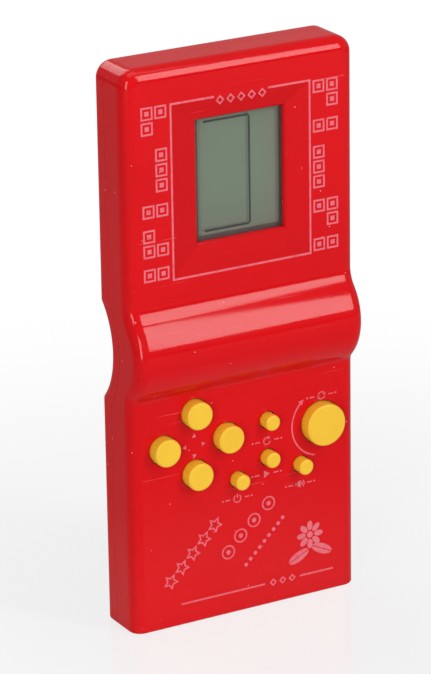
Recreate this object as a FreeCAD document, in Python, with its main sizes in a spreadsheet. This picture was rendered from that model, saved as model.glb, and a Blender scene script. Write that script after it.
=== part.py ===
import FreeCAD, Part
import math
import os
import re
from FreeCAD import Placement, Rotation, Vector

# A handheld brick game, upright on its bottom end, in millimetres.
# X runs to the right, Y from the front to the back, Z up; the origin is below the middle of the bounding box.

doc = FreeCAD.newDocument("brick_game")
sheet = doc.addObject("Spreadsheet::Sheet", "Sizes")

# Driving sizes, one group for each piece or set of pieces

caseSizes = {
    "case_width": 79.0,
    "case_height": 178.0,
    "case_depth": 18.2,             # flat front panel to flat back
    "wall": 1.8,
    "top_corner": 5.3,              # the two top corners, seen from the front
    "front_round": 4.0,             # sides and top, where they meet the front panel
    "bottom_round": 0.8,
    "back_round": 2.5,
    "back_low_round": 4.5,          # the long edge between bottom and back
    "low_round_crease": 0.02,       # its roller stands this proud of both faces, so that it cuts clean edges
    "bulge_radius": 17.0,
    "bulge_height": 6.3,            # crest, forward of the front panel
    "bulge_z": 88.8,
    "bulge_blend_top": 7.0,
    "bulge_blend_low": 3.0,
    "groove_radius": 20.8,          # finger groove across the back
    "groove_depth": 6.4,
    "groove_z": 88.35,
    "groove_edge_round": 1.2,
    "seam_depth": 12.0,             # front panel to the parting line
    "seam_gap": 0.12,
    "seam_groove_offset": 6.0,      # parting line ahead of the finger groove
    "seam_blend": 6.0,
}

windowSizes = {
    "window_half": 15.1,
    "window_low": 121.8,
    "window_below_top": 18.0,       # its upper edge, down from the casing's top
    "window_lip": 0.5,              # chamfer round the window's mouth
    "recess_half": 23.2,            # sloped recess, at the front panel
    "recess_low": 112.6,
    "recess_below_top": 12.2,
    "recess_depth": 0.3,            # at the window's edge
    "window_land": 1.9,             # length of the window's straight wall
    "land_margin": 1.0,             # thick pad behind the recess, inside its outline
}

screenSizes = {
    "plate_thick": 0.8,
    "plate_margin": 2.4,            # clear plate beyond the window
    "gasket_thick": 0.4,
    "gasket_reveal": 0.15,          # gasket set back from the window's edge
    "film_thick": 0.2,
    "glass_thick": 0.7,
    "glass_margin": 2.2,
    "film_inset": 0.3,
    "glass_ledge": 2.6,             # contact ledge of the front glass, below the rear glass
    "strip_high": 2.0,
    "strip_half": 14.5,
    "holder_wall": 2.6,
    "holder_lip": 1.6,              # ledge that carries the glass from behind
    "slip": 0.15,                   # clearance round parts laid in a pocket
}

boardSizes = {
    "board_front": 7.6,             # front panel to the board's front face
    "board_thick": 1.2,
    "board_half": 30.4,
    "board_low_half": 35.4,
    "board_low": 39.2,
    "board_step": 75.0,
    "board_below_top": 11.6,
    "board_boss": 2.6,
    "board_boss_upper_x": 26.4,
    "board_boss_below_top": 15.4,
    "board_boss_mid_z": 109.4,
    "board_boss_low_x": 31.4,
    "board_boss_low_z": 42.4,
    "board_boss_centre_z": 70.0,
    "board_hole": 1.3,
}

buttonSizes = {
    "arrow_radius": 4.4,
    "rotate_radius": 6.75,
    "small_radius": 2.5,
    "button_proud": 3.7,
    "button_round": 0.7,
    "button_gap": 0.35,             # clearance in the casing's hole
    "button_travel": 1.2,
    "flange_width": 0.8,
    "flange_thick": 1.0,
    "flange_gap": 0.2,              # behind the casing's inner face
    "button_roof": 1.5,
    "button_side": 1.3,
    "up_x": -17.4, "up_z": 68.5,
    "left_x": -28.5, "left_z": 58.8,
    "right_x": -6.5, "right_z": 58.7,
    "down_x": -17.4, "down_z": 48.8,
    "rotate_x": 27.0, "rotate_z": 56.7,
    "reset_x": 8.0, "reset_z": 61.2,
    "start_x": 8.05, "start_z": 49.0,
    "sound_x": 19.7, "sound_z": 44.3,
    "power_x": -2.7, "power_z": 43.9,
}

keypadSizes = {
    "mat_thick": 1.2,
    "mat_half": 34.2,
    "mat_low": 39.7,
    "mat_high": 73.6,
    "dome_roof": 1.2,
    "dome_side": 0.9,
    "dome_flare": 1.2,              # dome's foot wider than its top
    "arrow_dome": 3.4,
    "rotate_dome": 4.6,
    "small_dome": 2.5,
    "pill_thick": 0.5,
    "pill_inset": 1.2,              # dome's top radius beyond the pill's
    "pad_thick": 0.1,
}

fastenerSizes = {
    "case_boss": 3.4,
    "boss_bond": 0.2,               # bosses run this far into the wall that carries them
    "case_screw_x": 34.6,
    "case_screw_top_x": 33.4,
    "case_screw_below_top": 7.8,
    "case_screw_mid_z": 110.0,
    "case_screw_low_z": 6.4,
    "case_seat": 2.6,               # plastic under the case screw's head
    "case_screw_head": 2.2,
    "case_screw_head_high": 1.6,
    "case_screw_shank": 1.1,
    "case_screw_long": 8.0,
    "board_screw_head": 2.2,
    "board_screw_head_high": 1.4,
    "board_screw_shank": 0.95,
    "board_screw_long": 5.0,
    "screw_fit": 0.05,
    "head_gap": 0.3,
    "hole_spare": 1.0,              # pilot hole beyond the screw's tip
    "cross_wide": 0.5,
    "cross_long": 2.6,
    "cross_deep": 0.8,
}

batterySizes = {
    "cell_radius": 7.0,
    "cell_long": 50.0,
    "nipple_radius": 2.7,
    "nipple_high": 1.0,
    "cell_pitch": 15.0,
    "cell_front_gap": 0.35,         # cell to the front casing's inner face
    "cell_side_gap": 0.6,           # cell to the bay's top and bottom walls
    "spring_space": 6.2,
    "contact_thick": 0.4,
    "contact_half": 4.8,
    "contact_tab": 2.6,
    "contact_tab_wide": 2.4,
    "bay_low": 6.4,
    "bay_wall": 1.3,
    "bay_front_gap": 1.4,           # bay walls to the front casing's inner face
    "spring_wire": 0.6,
    "spring_base": 4.0,
    "spring_tip": 2.4,
    "spring_turns": 3.5,
    "spring_straight": 0.6,
}

coverSizes = {
    "cover_lap": 1.2,               # cover beyond the bay's walls
    "cover_gap": 0.3,
    "cover_seat_gap": 0.1,
    "cover_ledge": 1.2,             # thickness of the rim that the cover rests on
    "tab_x": 14.0,
    "tab_half": 3.0,
    "tab_hook": 1.0,                # tab's reach under the casing's edge
    "tab_thick": 1.1,
    "tab_gap": 0.35,
    "tab_slot_gap": 0.4,
    "tab_swing": 1.2,
    "tongue_half": 6.0,
    "tongue_high": 3.2,
    "ridge_pitch": 1.6,
    "ridge_deep": 0.4,
    "ridge_wide": 0.7,
    "ridge_inset": 1.8,             # ridges short of the tongue's sides
}

buzzerSizes = {
    "buzzer_below_top": 38.0,
    "buzzer_radius": 13.5,
    "buzzer_thick": 0.25,
    "ceramic_radius": 9.5,
    "ceramic_thick": 0.2,
    "buzzer_ring": 1.3,
    "buzzer_ring_high": 2.4,
    "buzzer_ledge": 1.2,
    "buzzer_ledge_high": 1.0,
    "grille_hole": 0.9,
    "grille_pitch": 4.0,
}

partsOnBoardSizes = {
    "blob_x": 12.0, "blob_z": 57.0,
    "blob_radius": 7.0,
    "blob_high": 1.9,
    "capacitor_x": 22.0, "capacitor_z": 124.0,
    "capacitor_radius": 2.5,
    "capacitor_high": 5.2,
    "capacitor_round": 0.4,
    "transistor_x": -21.0, "transistor_z": 120.0,
    "transistor_radius": 2.3,
    "transistor_flat": 1.2,
    "transistor_high": 4.2,
    "transistor_stand": 1.2,
    "pin_radius": 0.25,
    "pin_pitch": 1.27,
    "resistor_x": 21.0, "resistor_z": 132.0,
    "resistor_pitch": 4.4,
    "resistor_radius": 1.1,
    "resistor_half": 3.1,
    "resistor_wire": 0.3,
    "resistor_span": 4.8,
}

leadSizes = {
    "lead_radius": 0.55,
}

allSizes = {}
for group in (caseSizes, windowSizes, screenSizes, boardSizes, buttonSizes, keypadSizes, fastenerSizes,
              batterySizes, coverSizes, buzzerSizes, partsOnBoardSizes, leadSizes):
    allSizes.update(group)
for row, (alias, number) in enumerate(allSizes.items(), start=1):
    sheet.set(f"A{row}", alias)
    sheet.set(f"B{row}", str(number))
    sheet.setAlias(f"B{row}", alias)
doc.recompute()

# Places worked out from the sizes, as words that the formulas below may use

places = {
    "panel": "((bulge_height - case_depth) / 2)",
    "back": "((bulge_height + case_depth) / 2)",
    "inside_front": "(panel + wall)",
    "inside_back": "(back - wall)",
    "groove_y": "(back + groove_radius - groove_depth)",
    "window_high": "(case_height - window_below_top)",
    "recess_high": "(case_height - recess_below_top)",
    "window_edge": "(panel + recess_depth)",
    "land_back": "(window_edge + window_land)",
    "plate_back": "(land_back + plate_thick)",
    "gasket_back": "(plate_back + gasket_thick)",
    "front_film_back": "(gasket_back + film_thick)",
    "front_glass_back": "(front_film_back + glass_thick)",
    "rear_glass_back": "(front_glass_back + glass_thick)",
    "rear_film_back": "(rear_glass_back + film_thick)",
    "board_y": "(panel + board_front)",
    "board_back": "(board_y + board_thick)",
    "board_high": "(case_height - board_below_top)",
    "board_boss_top_z": "(case_height - board_boss_below_top)",
    "flange_front": "(inside_front + flange_gap)",
    "flange_back": "(flange_front + flange_thick)",
    "mat_front": "(board_y - mat_thick)",
    "boss_face": "(panel + seam_depth + seam_gap)",
    "case_seat_y": "(boss_face + case_seat)",
    "case_screw_top_z": "(case_height - case_screw_below_top)",
    "cell_y": "(inside_front + cell_front_gap + cell_radius)",
    "cell_low_z": "(bay_low + cell_side_gap + cell_radius)",
    "cell_high_z": "(cell_low_z + cell_pitch)",
    "bay_high": "(cell_high_z + cell_radius + cell_side_gap)",
    "bay_half": "((cell_long + spring_space) / 2 + contact_thick)",
    "bay_front": "(inside_front + bay_front_gap)",
    "opening_half": "(bay_half + bay_wall + cover_lap)",
    "opening_low": "(bay_low - bay_wall)",
    "opening_high": "(bay_high + bay_wall)",
    "buzzer_z": "(case_height - buzzer_below_top)",
    "past": "wall",                 # how far a cut runs beyond the faces that it crosses
    "bond": "(wall / 2)",           # how far a rib runs into the wall that carries it
}

wordPattern = re.compile(r"[a-z][a-z_]*")


def spelledOut(word):
    # A place becomes its own formula, and a size becomes its cell.
    if word in places:
        return wordPattern.sub(lambda found: spelledOut(found.group(0)), places[word])
    return "Sizes." + word if word in allSizes else word


def formula(text):
    return wordPattern.sub(lambda found: spelledOut(found.group(0)), text)


gauge = doc.addObject("App::FeaturePython", "Gauge")
gauge.addProperty("App::PropertyFloat", "Reading")


def value(text):
    # The present value of a formula, for shapes that are made from points.
    gauge.setExpression("Reading", formula(text))
    gauge.recompute()
    return gauge.Reading


def bind(thing, formulas):
    for name, text in formulas.items():
        thing.setExpression(name, formula(text))


upright = Rotation()
towardsBack = Rotation(Vector(1, 0, 0), -90)
towardsFront = Rotation(Vector(1, 0, 0), 90)
towardsRight = Rotation(Vector(0, 1, 0), 90)


def put(thing, x, y, z, turn=upright):
    thing.Placement = Placement(Vector(), turn)
    bind(thing, {"Placement.Base.x": x, "Placement.Base.y": y, "Placement.Base.z": z})


def block(name, x, y, z):
    # A box between two formulas along each axis.
    thing = doc.addObject("Part::Box", name)
    bind(thing, {"Length": f"({x[1]}) - ({x[0]})", "Width": f"({y[1]}) - ({y[0]})",
                 "Height": f"({z[1]}) - ({z[0]})"})
    put(thing, x[0], y[0], z[0])
    return thing


def rod(name, radius, x, z, y):
    # A round bar that runs from front to back.
    thing = doc.addObject("Part::Cylinder", name)
    bind(thing, {"Radius": radius, "Height": f"({y[1]}) - ({y[0]})"})
    put(thing, x, y[0], z, towardsBack)
    return thing


def crossRod(name, radius, y, z, x):
    # A round bar that runs from left to right.
    thing = doc.addObject("Part::Cylinder", name)
    bind(thing, {"Radius": radius, "Height": f"({x[1]}) - ({x[0]})"})
    put(thing, x[0], y, z, towardsRight)
    return thing


def cone(name, frontRadius, backRadius, x, z, y):
    thing = doc.addObject("Part::Cone", name)
    bind(thing, {"Radius1": frontRadius, "Radius2": backRadius, "Height": f"({y[1]}) - ({y[0]})"})
    put(thing, x, y[0], z, towardsBack)
    return thing


def join(name, *pieces):
    thing = doc.addObject("Part::MultiFuse", name)
    thing.Shapes = list(pieces)
    thing.Refine = True
    return thing


def cut(name, base, *tools):
    thing = doc.addObject("Part::Cut", name)
    thing.Base = base
    thing.Tool = tools[0] if len(tools) == 1 else join(name + "_tools", *tools)
    thing.Refine = True
    return thing


def common(name, first, second):
    thing = doc.addObject("Part::Common", name)
    thing.Base = first
    thing.Tool = second
    return thing


def group(name, pieces):
    # Separate solids that share one name, such as a set of screws.
    thing = doc.addObject("Part::Compound", name)
    thing.Links = pieces
    return thing


def middle(edge):
    return edge.valueAt((edge.FirstParameter + edge.LastParameter) / 2)


def feature(body, kind, name, formulas):
    thing = body.newObject("PartDesign::" + kind, name)
    bind(thing, formulas)
    return thing


def roundOff(body, name, radius, chosen):
    # Rounds the edges of the body's last feature that the test picks.
    doc.recompute()
    base = body.Tip
    picked = [f"Edge{number}" for number, edge in enumerate(base.Shape.Edges, start=1)
              if chosen(middle(edge), edge.BoundBox)]
    thing = feature(body, "Fillet", name, {"Radius": radius})
    thing.Base = (base, picked)
    doc.recompute()
    return thing


nodes = {}


def node(name, thing):
    thing.Label = name
    nodes[name] = thing
    return thing


# Casing: one outer and one inner form, parted along a wavy surface


def caseForm(name, inset, withFineRounds):
    # The whole casing as one solid, with every face moved inwards by the inset.
    body = doc.addObject("PartDesign::Body", name)
    side = value(f"case_width / 2 - {inset}")
    top = value(f"case_height - {inset}")
    low = value(inset)
    front = value(f"panel + {inset}")
    rear = value(f"back - {inset}")
    cornerReach = side - value(f"top_corner - {inset}")
    near = 0.01

    shell = feature(body, "AdditiveBox", name + "_block", {
        "Length": f"case_width - 2 * {inset}", "Width": f"case_depth - 2 * {inset}",
        "Height": f"case_height - 2 * {inset}"})
    put(shell, f"{inset} - case_width / 2", f"panel + {inset}", inset)
    roundOff(body, name + "_top_corners", f"top_corner - {inset}",
             lambda point, box: point.z > top - near and abs(point.x) > side - near)

    bulge = feature(body, "AdditiveCylinder", name + "_bulge", {
        "Radius": f"bulge_radius - {inset}", "Height": f"case_width - 2 * {inset}"})
    bulge.Angle = 180
    put(bulge, f"{inset} - case_width / 2", "panel + bulge_radius - bulge_height", "bulge_z",
        Rotation(Vector(0, 0, 1), Vector(0, -1, 0), Vector(1, 0, 0), "YZX"))
    crest = value("bulge_z")

    def alongBulge(point, box):
        return abs(point.y - front) < near and box.XLength > side and low + 1 < point.z < top - 1

    roundOff(body, name + "_blend_top", f"bulge_blend_top + {inset}",
             lambda point, box: alongBulge(point, box) and point.z > crest)
    roundOff(body, name + "_blend_low", f"bulge_blend_low + {inset}",
             lambda point, box: alongBulge(point, box) and point.z < crest)
    roundOff(body, name + "_front_round", f"front_round - {inset}",
             lambda point, box: point.y < front + near and point.z > low + near
             and (abs(point.x) > cornerReach or point.z > top - near))

    groove = feature(body, "SubtractiveCylinder", name + "_groove", {
        "Radius": f"groove_radius + {inset}", "Height": "case_width"})
    put(groove, "-case_width / 2", "groove_y", "groove_z", towardsRight)
    if withFineRounds:
        roundOff(body, name + "_groove_edges", "groove_edge_round",
                 lambda point, box: abs(point.y - rear) < near and box.XLength > side
                 and low + near < point.z < top - near)
    waist = (front + rear) / 2
    roundOff(body, name + "_back_round", f"back_round - {inset}",
             lambda point, box: point.y > waist + 1 and point.z > low + near
             and (abs(point.x) > side - near or (point.y > rear - near and abs(point.x) > cornerReach)
                  or (point.y > rear - near and point.z > top - near)))

    if withFineRounds:
        roundOff(body, name + "_bottom_round", "bottom_round", lambda point, box: point.z < low + near)

    # The long edge between bottom and back is rounded by a cut, so that it ends at the sides.
    radius = f"(back_low_round - {inset})"
    rollerY = f"(back - {inset} - {radius} + low_round_crease)"
    rollerZ = f"({inset} + {radius} - low_round_crease)"
    corner = block(name + "_low_corner", ("-case_width", "case_width"), (rollerY, "back + past"),
                   (f"{inset} - past", rollerZ))
    roller = crossRod(name + "_low_roller", radius, rollerY, rollerZ, ("-case_width", "case_width"))
    return cut(name + "_trimmed", body, cut(name + "_low_waste", corner, roller))


def partingForm(name, shift):
    # All that lies ahead of the parting line, which steps forward round the finger groove.
    reach = "front_round"
    body = doc.addObject("PartDesign::Body", name)
    ahead = feature(body, "AdditiveBox", name + "_block", {
        "Length": f"case_width + 2 * {reach}",
        "Width": f"seam_depth + {shift} + bulge_height + {reach}",
        "Height": f"case_height + 2 * {reach}"})
    put(ahead, f"-case_width / 2 - {reach}", f"panel - bulge_height - {reach}", f"-{reach}")
    hollow = feature(body, "SubtractiveCylinder", name + "_hollow", {
        "Radius": f"groove_radius + seam_groove_offset - {shift}", "Height": f"case_width + 2 * {reach}"})
    put(hollow, f"-case_width / 2 - {reach}", "groove_y", "groove_z", towardsRight)
    seam = value(f"panel + seam_depth + {shift}")
    roundOff(body, name + "_blend", "seam_blend",
             lambda point, box: abs(point.y - seam) < 0.01 and abs(point.x) < 1
             and 1 < point.z < value("case_height") - 1)
    return body


casing = caseForm("casing", "0", True)
cavity = caseForm("cavity", "wall", False)
frontRegion = partingForm("front_region", "0")
notBackRegion = partingForm("not_back_region", "seam_gap")

caseScrewSpots = [(side + across, height) for side in ("", "-") for across, height in (
    ("case_screw_top_x", "case_screw_top_z"),
    ("case_screw_x", "case_screw_mid_z"),
    ("case_screw_x", "case_screw_low_z"))]

boardScrewSpots = [
    ("board_boss_upper_x", "board_boss_top_z"),
    ("-board_boss_upper_x", "board_boss_top_z"),
    ("board_boss_upper_x", "board_boss_mid_z"),
    ("-board_boss_upper_x", "board_boss_mid_z"),
    ("board_boss_low_x", "board_boss_low_z"),
    ("-board_boss_low_x", "board_boss_low_z"),
    ("0", "board_boss_centre_z"),
]

arrowButtons = ("up", "down", "left", "right")
smallButtons = ("reset", "start", "sound", "power")
buttonKinds = {name: "arrow" for name in arrowButtons}
buttonKinds["rotate"] = "rotate"
buttonKinds.update({name: "small" for name in smallButtons})


def slopedHole(name, y, front, rear):
    # A rectangular cut that narrows towards the back; front and rear give its half width, bottom and top.
    hole = doc.addObject("Part::Wedge", name)
    bind(hole, {
        "Xmin": f"-({front[0]})", "Xmax": front[0], "Zmin": front[1], "Zmax": front[2],
        "X2min": f"-({rear[0]})", "X2max": rear[0], "Z2min": rear[1], "Z2max": rear[2],
        "Ymin": "0", "Ymax": f"({y[1]}) - ({y[0]})"})
    put(hole, "0", y[0], "0")
    return hole


def frontShell():
    skin = cut("front_skin", common("front_outer", casing, frontRegion), cavity)
    land = block("window_pad", ("land_margin - recess_half", "recess_half - land_margin"),
                 ("inside_front", "land_back"),
                 ("recess_low + land_margin", "recess_high - land_margin"))
    bosses = [rod(f"front_case_boss_{number}", "case_boss", x, z, ("inside_front - boss_bond", "boss_face"))
              for number, (x, z) in enumerate(caseScrewSpots)]
    bosses += [rod(f"front_board_boss_{number}", "board_boss", x, z, ("inside_front - boss_bond", "board_y"))
               for number, (x, z) in enumerate(boardScrewSpots)]
    solid = join("front_solid", skin, land, *bosses)

    recess = slopedHole("screen_recess", ("panel", "window_edge"),
                        ("recess_half", "recess_low", "recess_high"),
                        ("window_half", "window_low", "window_high"))
    mouth = slopedHole("window_mouth", ("window_edge - window_lip", "window_edge + window_lip"),
                       ("window_half + 2 * window_lip", "window_low - 2 * window_lip",
                        "window_high + 2 * window_lip"),
                       ("window_half", "window_low", "window_high"))
    tools = [recess, mouth, block("window_opening", ("-window_half", "window_half"),
                                  ("panel - past", "land_back + past"), ("window_low", "window_high"))]
    tools += [rod(f"case_pilot_{number}", "case_screw_shank + screw_fit", x, z,
                  ("case_seat_y - case_screw_long - hole_spare", "boss_face + past"))
              for number, (x, z) in enumerate(caseScrewSpots)]
    tools += [rod(f"board_pilot_{number}", "board_screw_shank + screw_fit", x, z,
                  ("board_back - board_screw_long - hole_spare / 2", "board_y + past"))
              for number, (x, z) in enumerate(boardScrewSpots)]
    tools += [rod(f"hole_{name}", f"{kind}_radius + button_gap", f"{name}_x", f"{name}_z",
                  ("panel - past", "inside_front + past"))
              for name, kind in buttonKinds.items()]
    return node("front_shell", cut("front_shell", solid, *tools))


def grilleSpots():
    # The hole in the middle, then rings of six and twelve.
    spots = [("0", "buzzer_z")]
    for ring in (1, 2):
        holes = 6 * ring
        for step in range(holes):
            turn = 360 / holes * step
            spots.append((f"{ring} * grille_pitch * cos({turn}deg)",
                          f"buzzer_z + {ring} * grille_pitch * sin({turn}deg)"))
    return spots


def backShell():
    skin = cut("back_skin", cut("back_outer", casing, notBackRegion), cavity)
    wallY = ("bay_front", "inside_back + bond")
    wallZ = ("bay_low - bay_wall", "bay_high + bay_wall")
    outerHalf = "(bay_half + bay_wall)"
    ribs = [
        block("bay_left", (f"-{outerHalf}", "-bay_half"), wallY, wallZ),
        block("bay_right", ("bay_half", outerHalf), wallY, wallZ),
        block("bay_floor", ("-bay_half", "bay_half"), wallY, ("bay_low - bay_wall", "bay_low")),
        block("bay_roof", ("-bay_half", "bay_half"), wallY, ("bay_high", "bay_high + bay_wall")),
        block("bay_rim", ("-opening_half - bay_wall", "opening_half + bay_wall"),
              ("inside_back - cover_ledge", "inside_back + bond"),
              ("opening_low - bay_wall", "opening_high + bay_wall")),
        block("tongue_shelf", ("-tongue_half - bay_wall", "tongue_half + bay_wall"),
              ("inside_back - cover_ledge", "inside_back + bond"),
              ("bay_high + bay_wall / 2", "opening_high + tongue_high + cover_gap + bay_wall")),
        rod("buzzer_seat", "buzzer_radius + slip + buzzer_ring", "0", "buzzer_z",
            ("inside_back - buzzer_ring_high", "inside_back + bond")),
    ]
    ribs += [rod(f"back_case_boss_{number}", "case_boss", x, z, ("boss_face", "inside_back + bond"))
             for number, (x, z) in enumerate(caseScrewSpots)]
    solid = join("back_solid", skin, *ribs)

    tools = [
        block("bay_clear", ("-bay_half", "bay_half"), ("inside_back - cover_ledge - past", "back + past"),
              ("bay_low", "bay_high")),
        block("cover_opening", ("-opening_half", "opening_half"), ("inside_back", "back + past"),
              ("opening_low", "opening_high")),
        block("tongue_notch", ("-tongue_half - cover_gap", "tongue_half + cover_gap"),
              ("inside_back", "back + past"), ("bay_high", "opening_high + tongue_high + cover_gap")),
        rod("buzzer_pocket", "buzzer_radius + slip", "0", "buzzer_z",
            ("inside_back - buzzer_ring_high - past", "inside_back - buzzer_ledge_high")),
        rod("buzzer_chamber", "buzzer_radius + slip - buzzer_ledge", "0", "buzzer_z",
            ("inside_back - buzzer_ring_high - past", "inside_back")),
    ]
    tabReach = "(tab_half + tab_slot_gap)"
    for side, name in (("-", "left"), ("", "right")):
        tools.append(block(f"tab_slot_{name}", (f"{side}tab_x - {tabReach}", f"{side}tab_x + {tabReach}"),
                           ("inside_back - tab_gap - tab_thick - tab_swing", "inside_back"),
                           ("opening_low - tab_hook - tab_slot_gap", "bay_low + tab_slot_gap")))
    for name, z in (("low", "cell_low_z"), ("high", "cell_high_z")):
        tools.append(block(f"contact_slot_{name}", (f"-{outerHalf} - slip", "-bay_half"),
                           ("cell_y - contact_tab_wide / 2 - slip", "cell_y + contact_tab_wide / 2 + slip"),
                           (f"{z} - contact_thick / 2 - slip", f"{z} + contact_thick / 2 + slip")))
    for number, (x, z) in enumerate(caseScrewSpots):
        tools.append(rod(f"case_clear_{number}", "case_screw_shank + head_gap", x, z,
                         ("boss_face - past", "back + past")))
        tools.append(rod(f"case_counterbore_{number}", "case_screw_head + head_gap", x, z,
                         ("case_seat_y", "back + past")))
    tools += [rod(f"grille_{number}", "grille_hole", x, z, ("inside_back - past", "back + past"))
              for number, (x, z) in enumerate(grilleSpots())]
    return node("back_shell", cut("back_shell", solid, *tools))


def batteryCover():
    plate = block("cover_plate", ("cover_gap - opening_half", "opening_half - cover_gap"),
                  ("inside_back + cover_seat_gap", "back"),
                  ("opening_low + cover_gap", "opening_high - cover_gap"))
    tongue = block("cover_tongue", ("-tongue_half", "tongue_half"), ("inside_back + cover_seat_gap", "back"),
                   ("opening_high - cover_gap - bond", "opening_high + tongue_high"))
    pieces = [plate, tongue]
    tabBack = "(inside_back - tab_gap)"
    for side, name in (("-", "left"), ("", "right")):
        across = (f"{side}tab_x - tab_half", f"{side}tab_x + tab_half")
        pieces.append(block(f"cover_tab_root_{name}", across,
                            (f"{tabBack} - tab_thick", "inside_back + cover_seat_gap + bond"),
                            ("opening_low + cover_gap", "bay_low + slip")))
        pieces.append(block(f"cover_tab_hook_{name}", across, (f"{tabBack} - tab_thick", tabBack),
                            ("opening_low - tab_hook", "bay_low + slip")))
    ridges = [block(f"cover_ridge_{step}", ("ridge_inset - tongue_half", "tongue_half - ridge_inset"),
                    ("back - ridge_deep", "back + past"),
                    (f"opening_high + tongue_high / 2 + {step} * ridge_pitch - ridge_wide / 2",
                     f"opening_high + tongue_high / 2 + {step} * ridge_pitch + ridge_wide / 2"))
              for step in (-2, -1, 0)]
    return node("battery_cover", cut("battery_cover", join("cover_solid", *pieces), *ridges))


# Screen: the layers lie one behind the other, from the window back to the board


def layer(name, beyond, y, z):
    # A flat sheet of the panel, centred behind the window.
    return node(name, block(name, (f"-window_half - {beyond}", f"window_half + {beyond}"), y, z))


def screen():
    layer("window_plate", "plate_margin", ("land_back", "plate_back"),
          ("window_low - plate_margin", "window_high + plate_margin"))
    gasketOuter = block("gasket_outer", ("-window_half - plate_margin", "window_half + plate_margin"),
                        ("plate_back", "gasket_back"),
                        ("window_low - plate_margin", "window_high + plate_margin"))
    gasketInner = block("gasket_inner", ("-window_half - gasket_reveal", "window_half + gasket_reveal"),
                        ("plate_back - past", "gasket_back + past"),
                        ("window_low - gasket_reveal", "window_high + gasket_reveal"))
    node("screen_gasket", cut("screen_gasket", gasketOuter, gasketInner))
    glassTop = "window_high + glass_margin"
    glassLow = "window_low - glass_margin"
    filmRange = (f"{glassLow} + film_inset", f"{glassTop} - film_inset")
    layer("lcd_front_polariser", "glass_margin - film_inset", ("gasket_back", "front_film_back"), filmRange)
    layer("lcd_front_glass", "glass_margin", ("front_film_back", "front_glass_back"),
          (f"{glassLow} - glass_ledge", glassTop))
    layer("lcd_rear_glass", "glass_margin", ("front_glass_back", "rear_glass_back"), (glassLow, glassTop))
    layer("lcd_rear_reflector", "glass_margin - film_inset", ("rear_glass_back", "rear_film_back"), filmRange)

    stripLow = f"({glassLow} - glass_ledge / 2 - strip_high / 2)"
    stripHigh = f"({glassLow} - glass_ledge / 2 + strip_high / 2)"
    node("elastomer_strip", block("elastomer_strip", ("-strip_half", "strip_half"),
                                  ("front_glass_back", "board_y"), (stripLow, stripHigh)))

    pocketHalf = "(window_half + plate_margin + slip)"
    pocketZ = (f"{glassLow} - glass_ledge - slip", "window_high + plate_margin + slip")
    frame = block("holder_frame", (f"-{pocketHalf} - holder_wall", f"{pocketHalf} + holder_wall"),
                  ("land_back", "board_y"),
                  (f"{pocketZ[0]} - holder_wall", f"{pocketZ[1]} + holder_wall"))
    pocket = block("holder_pocket", (f"-{pocketHalf}", pocketHalf), ("land_back - past", "rear_film_back"),
                   pocketZ)
    through = block("holder_through", (f"-{pocketHalf} + holder_lip", f"{pocketHalf} - holder_lip"),
                    ("land_back", "board_y + past"),
                    (f"{glassLow} + holder_lip", f"{pocketZ[1]} - holder_lip"))
    slot = block("holder_slot", ("-strip_half - slip", "strip_half + slip"), ("land_back", "board_y + past"),
                 (f"{stripLow} - slip", f"{stripHigh} + slip"))
    node("lcd_holder", cut("lcd_holder", frame, pocket, through, slot))


# Board and what is on it


def mainBoard():
    upper = block("board_upper", ("-board_half", "board_half"), ("board_y", "board_back"),
                  ("board_step - bond", "board_high"))
    lower = block("board_lower", ("-board_low_half", "board_low_half"), ("board_y", "board_back"),
                  ("board_low", "board_step"))
    holes = [rod(f"board_hole_{number}", "board_hole", x, z, ("board_y - past", "board_back + past"))
             for number, (x, z) in enumerate(boardScrewSpots)]
    node("main_board", cut("main_board", join("board_sheet", upper, lower), *holes))

    dome = doc.addObject("Part::Ellipsoid", "blob_form")
    bind(dome, {"Radius1": "blob_high", "Radius2": "blob_radius", "Radius3": "blob_radius"})
    put(dome, "blob_x", "board_back", "blob_z", towardsBack)
    behind = block("blob_half", ("blob_x - 2 * blob_radius", "blob_x + 2 * blob_radius"),
                   ("board_back", "board_back + 2 * blob_high"),
                   ("blob_z - 2 * blob_radius", "blob_z + 2 * blob_radius"))
    node("chip_blob", common("chip_blob", dome, behind))


def capacitor():
    body = doc.addObject("PartDesign::Body", "capacitor")
    feature(body, "AdditiveCylinder", "capacitor_can", {
        "Radius": "capacitor_radius", "Height": "capacitor_high"})
    roundOff(body, "capacitor_rim", "capacitor_round", lambda point, box: point.z > 1)
    put(body, "capacitor_x", "board_back", "capacitor_z", towardsBack)
    node("capacitor", body)


def transistor():
    foot = "(board_back + transistor_stand)"
    wide = "2 * transistor_radius"
    can = rod("transistor_can", "transistor_radius", "transistor_x", "transistor_z",
              (foot, f"{foot} + transistor_high"))
    flat = block("transistor_face", (f"transistor_x - {wide}", f"transistor_x + {wide}"),
                 (f"{foot} - past", f"{foot} + transistor_high + past"),
                 (f"transistor_z - {wide}", "transistor_z - transistor_flat"))
    pins = [rod(f"transistor_pin_{step + 1}", "pin_radius", f"transistor_x + {step} * pin_pitch",
                "transistor_z", ("board_back", f"{foot} + pin_radius"))
            for step in (-1, 0, 1)]
    node("transistor", join("transistor", cut("transistor_case", can, flat), *pins))


def resistors():
    pieces = []
    wireY = "(board_back + resistor_radius + resistor_wire)"
    for step in range(3):
        z = f"resistor_z + {step} * resistor_pitch"
        bar = crossRod(f"resistor_{step}_bar", "resistor_radius", wireY, z,
                       ("resistor_x - resistor_half", "resistor_x + resistor_half"))
        wire = crossRod(f"resistor_{step}_wire", "resistor_wire", wireY, z,
                        ("resistor_x - resistor_span", "resistor_x + resistor_span"))
        legs = [rod(f"resistor_{step}_leg{name}", "resistor_wire", f"resistor_x {sign} resistor_span", z,
                    ("board_back", wireY))
                for sign, name in (("-", "_left"), ("+", "_right"))]
        pieces.append(join(f"resistor_{step}", bar, wire, *legs))
    node("resistors", group("resistors", pieces))


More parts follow.
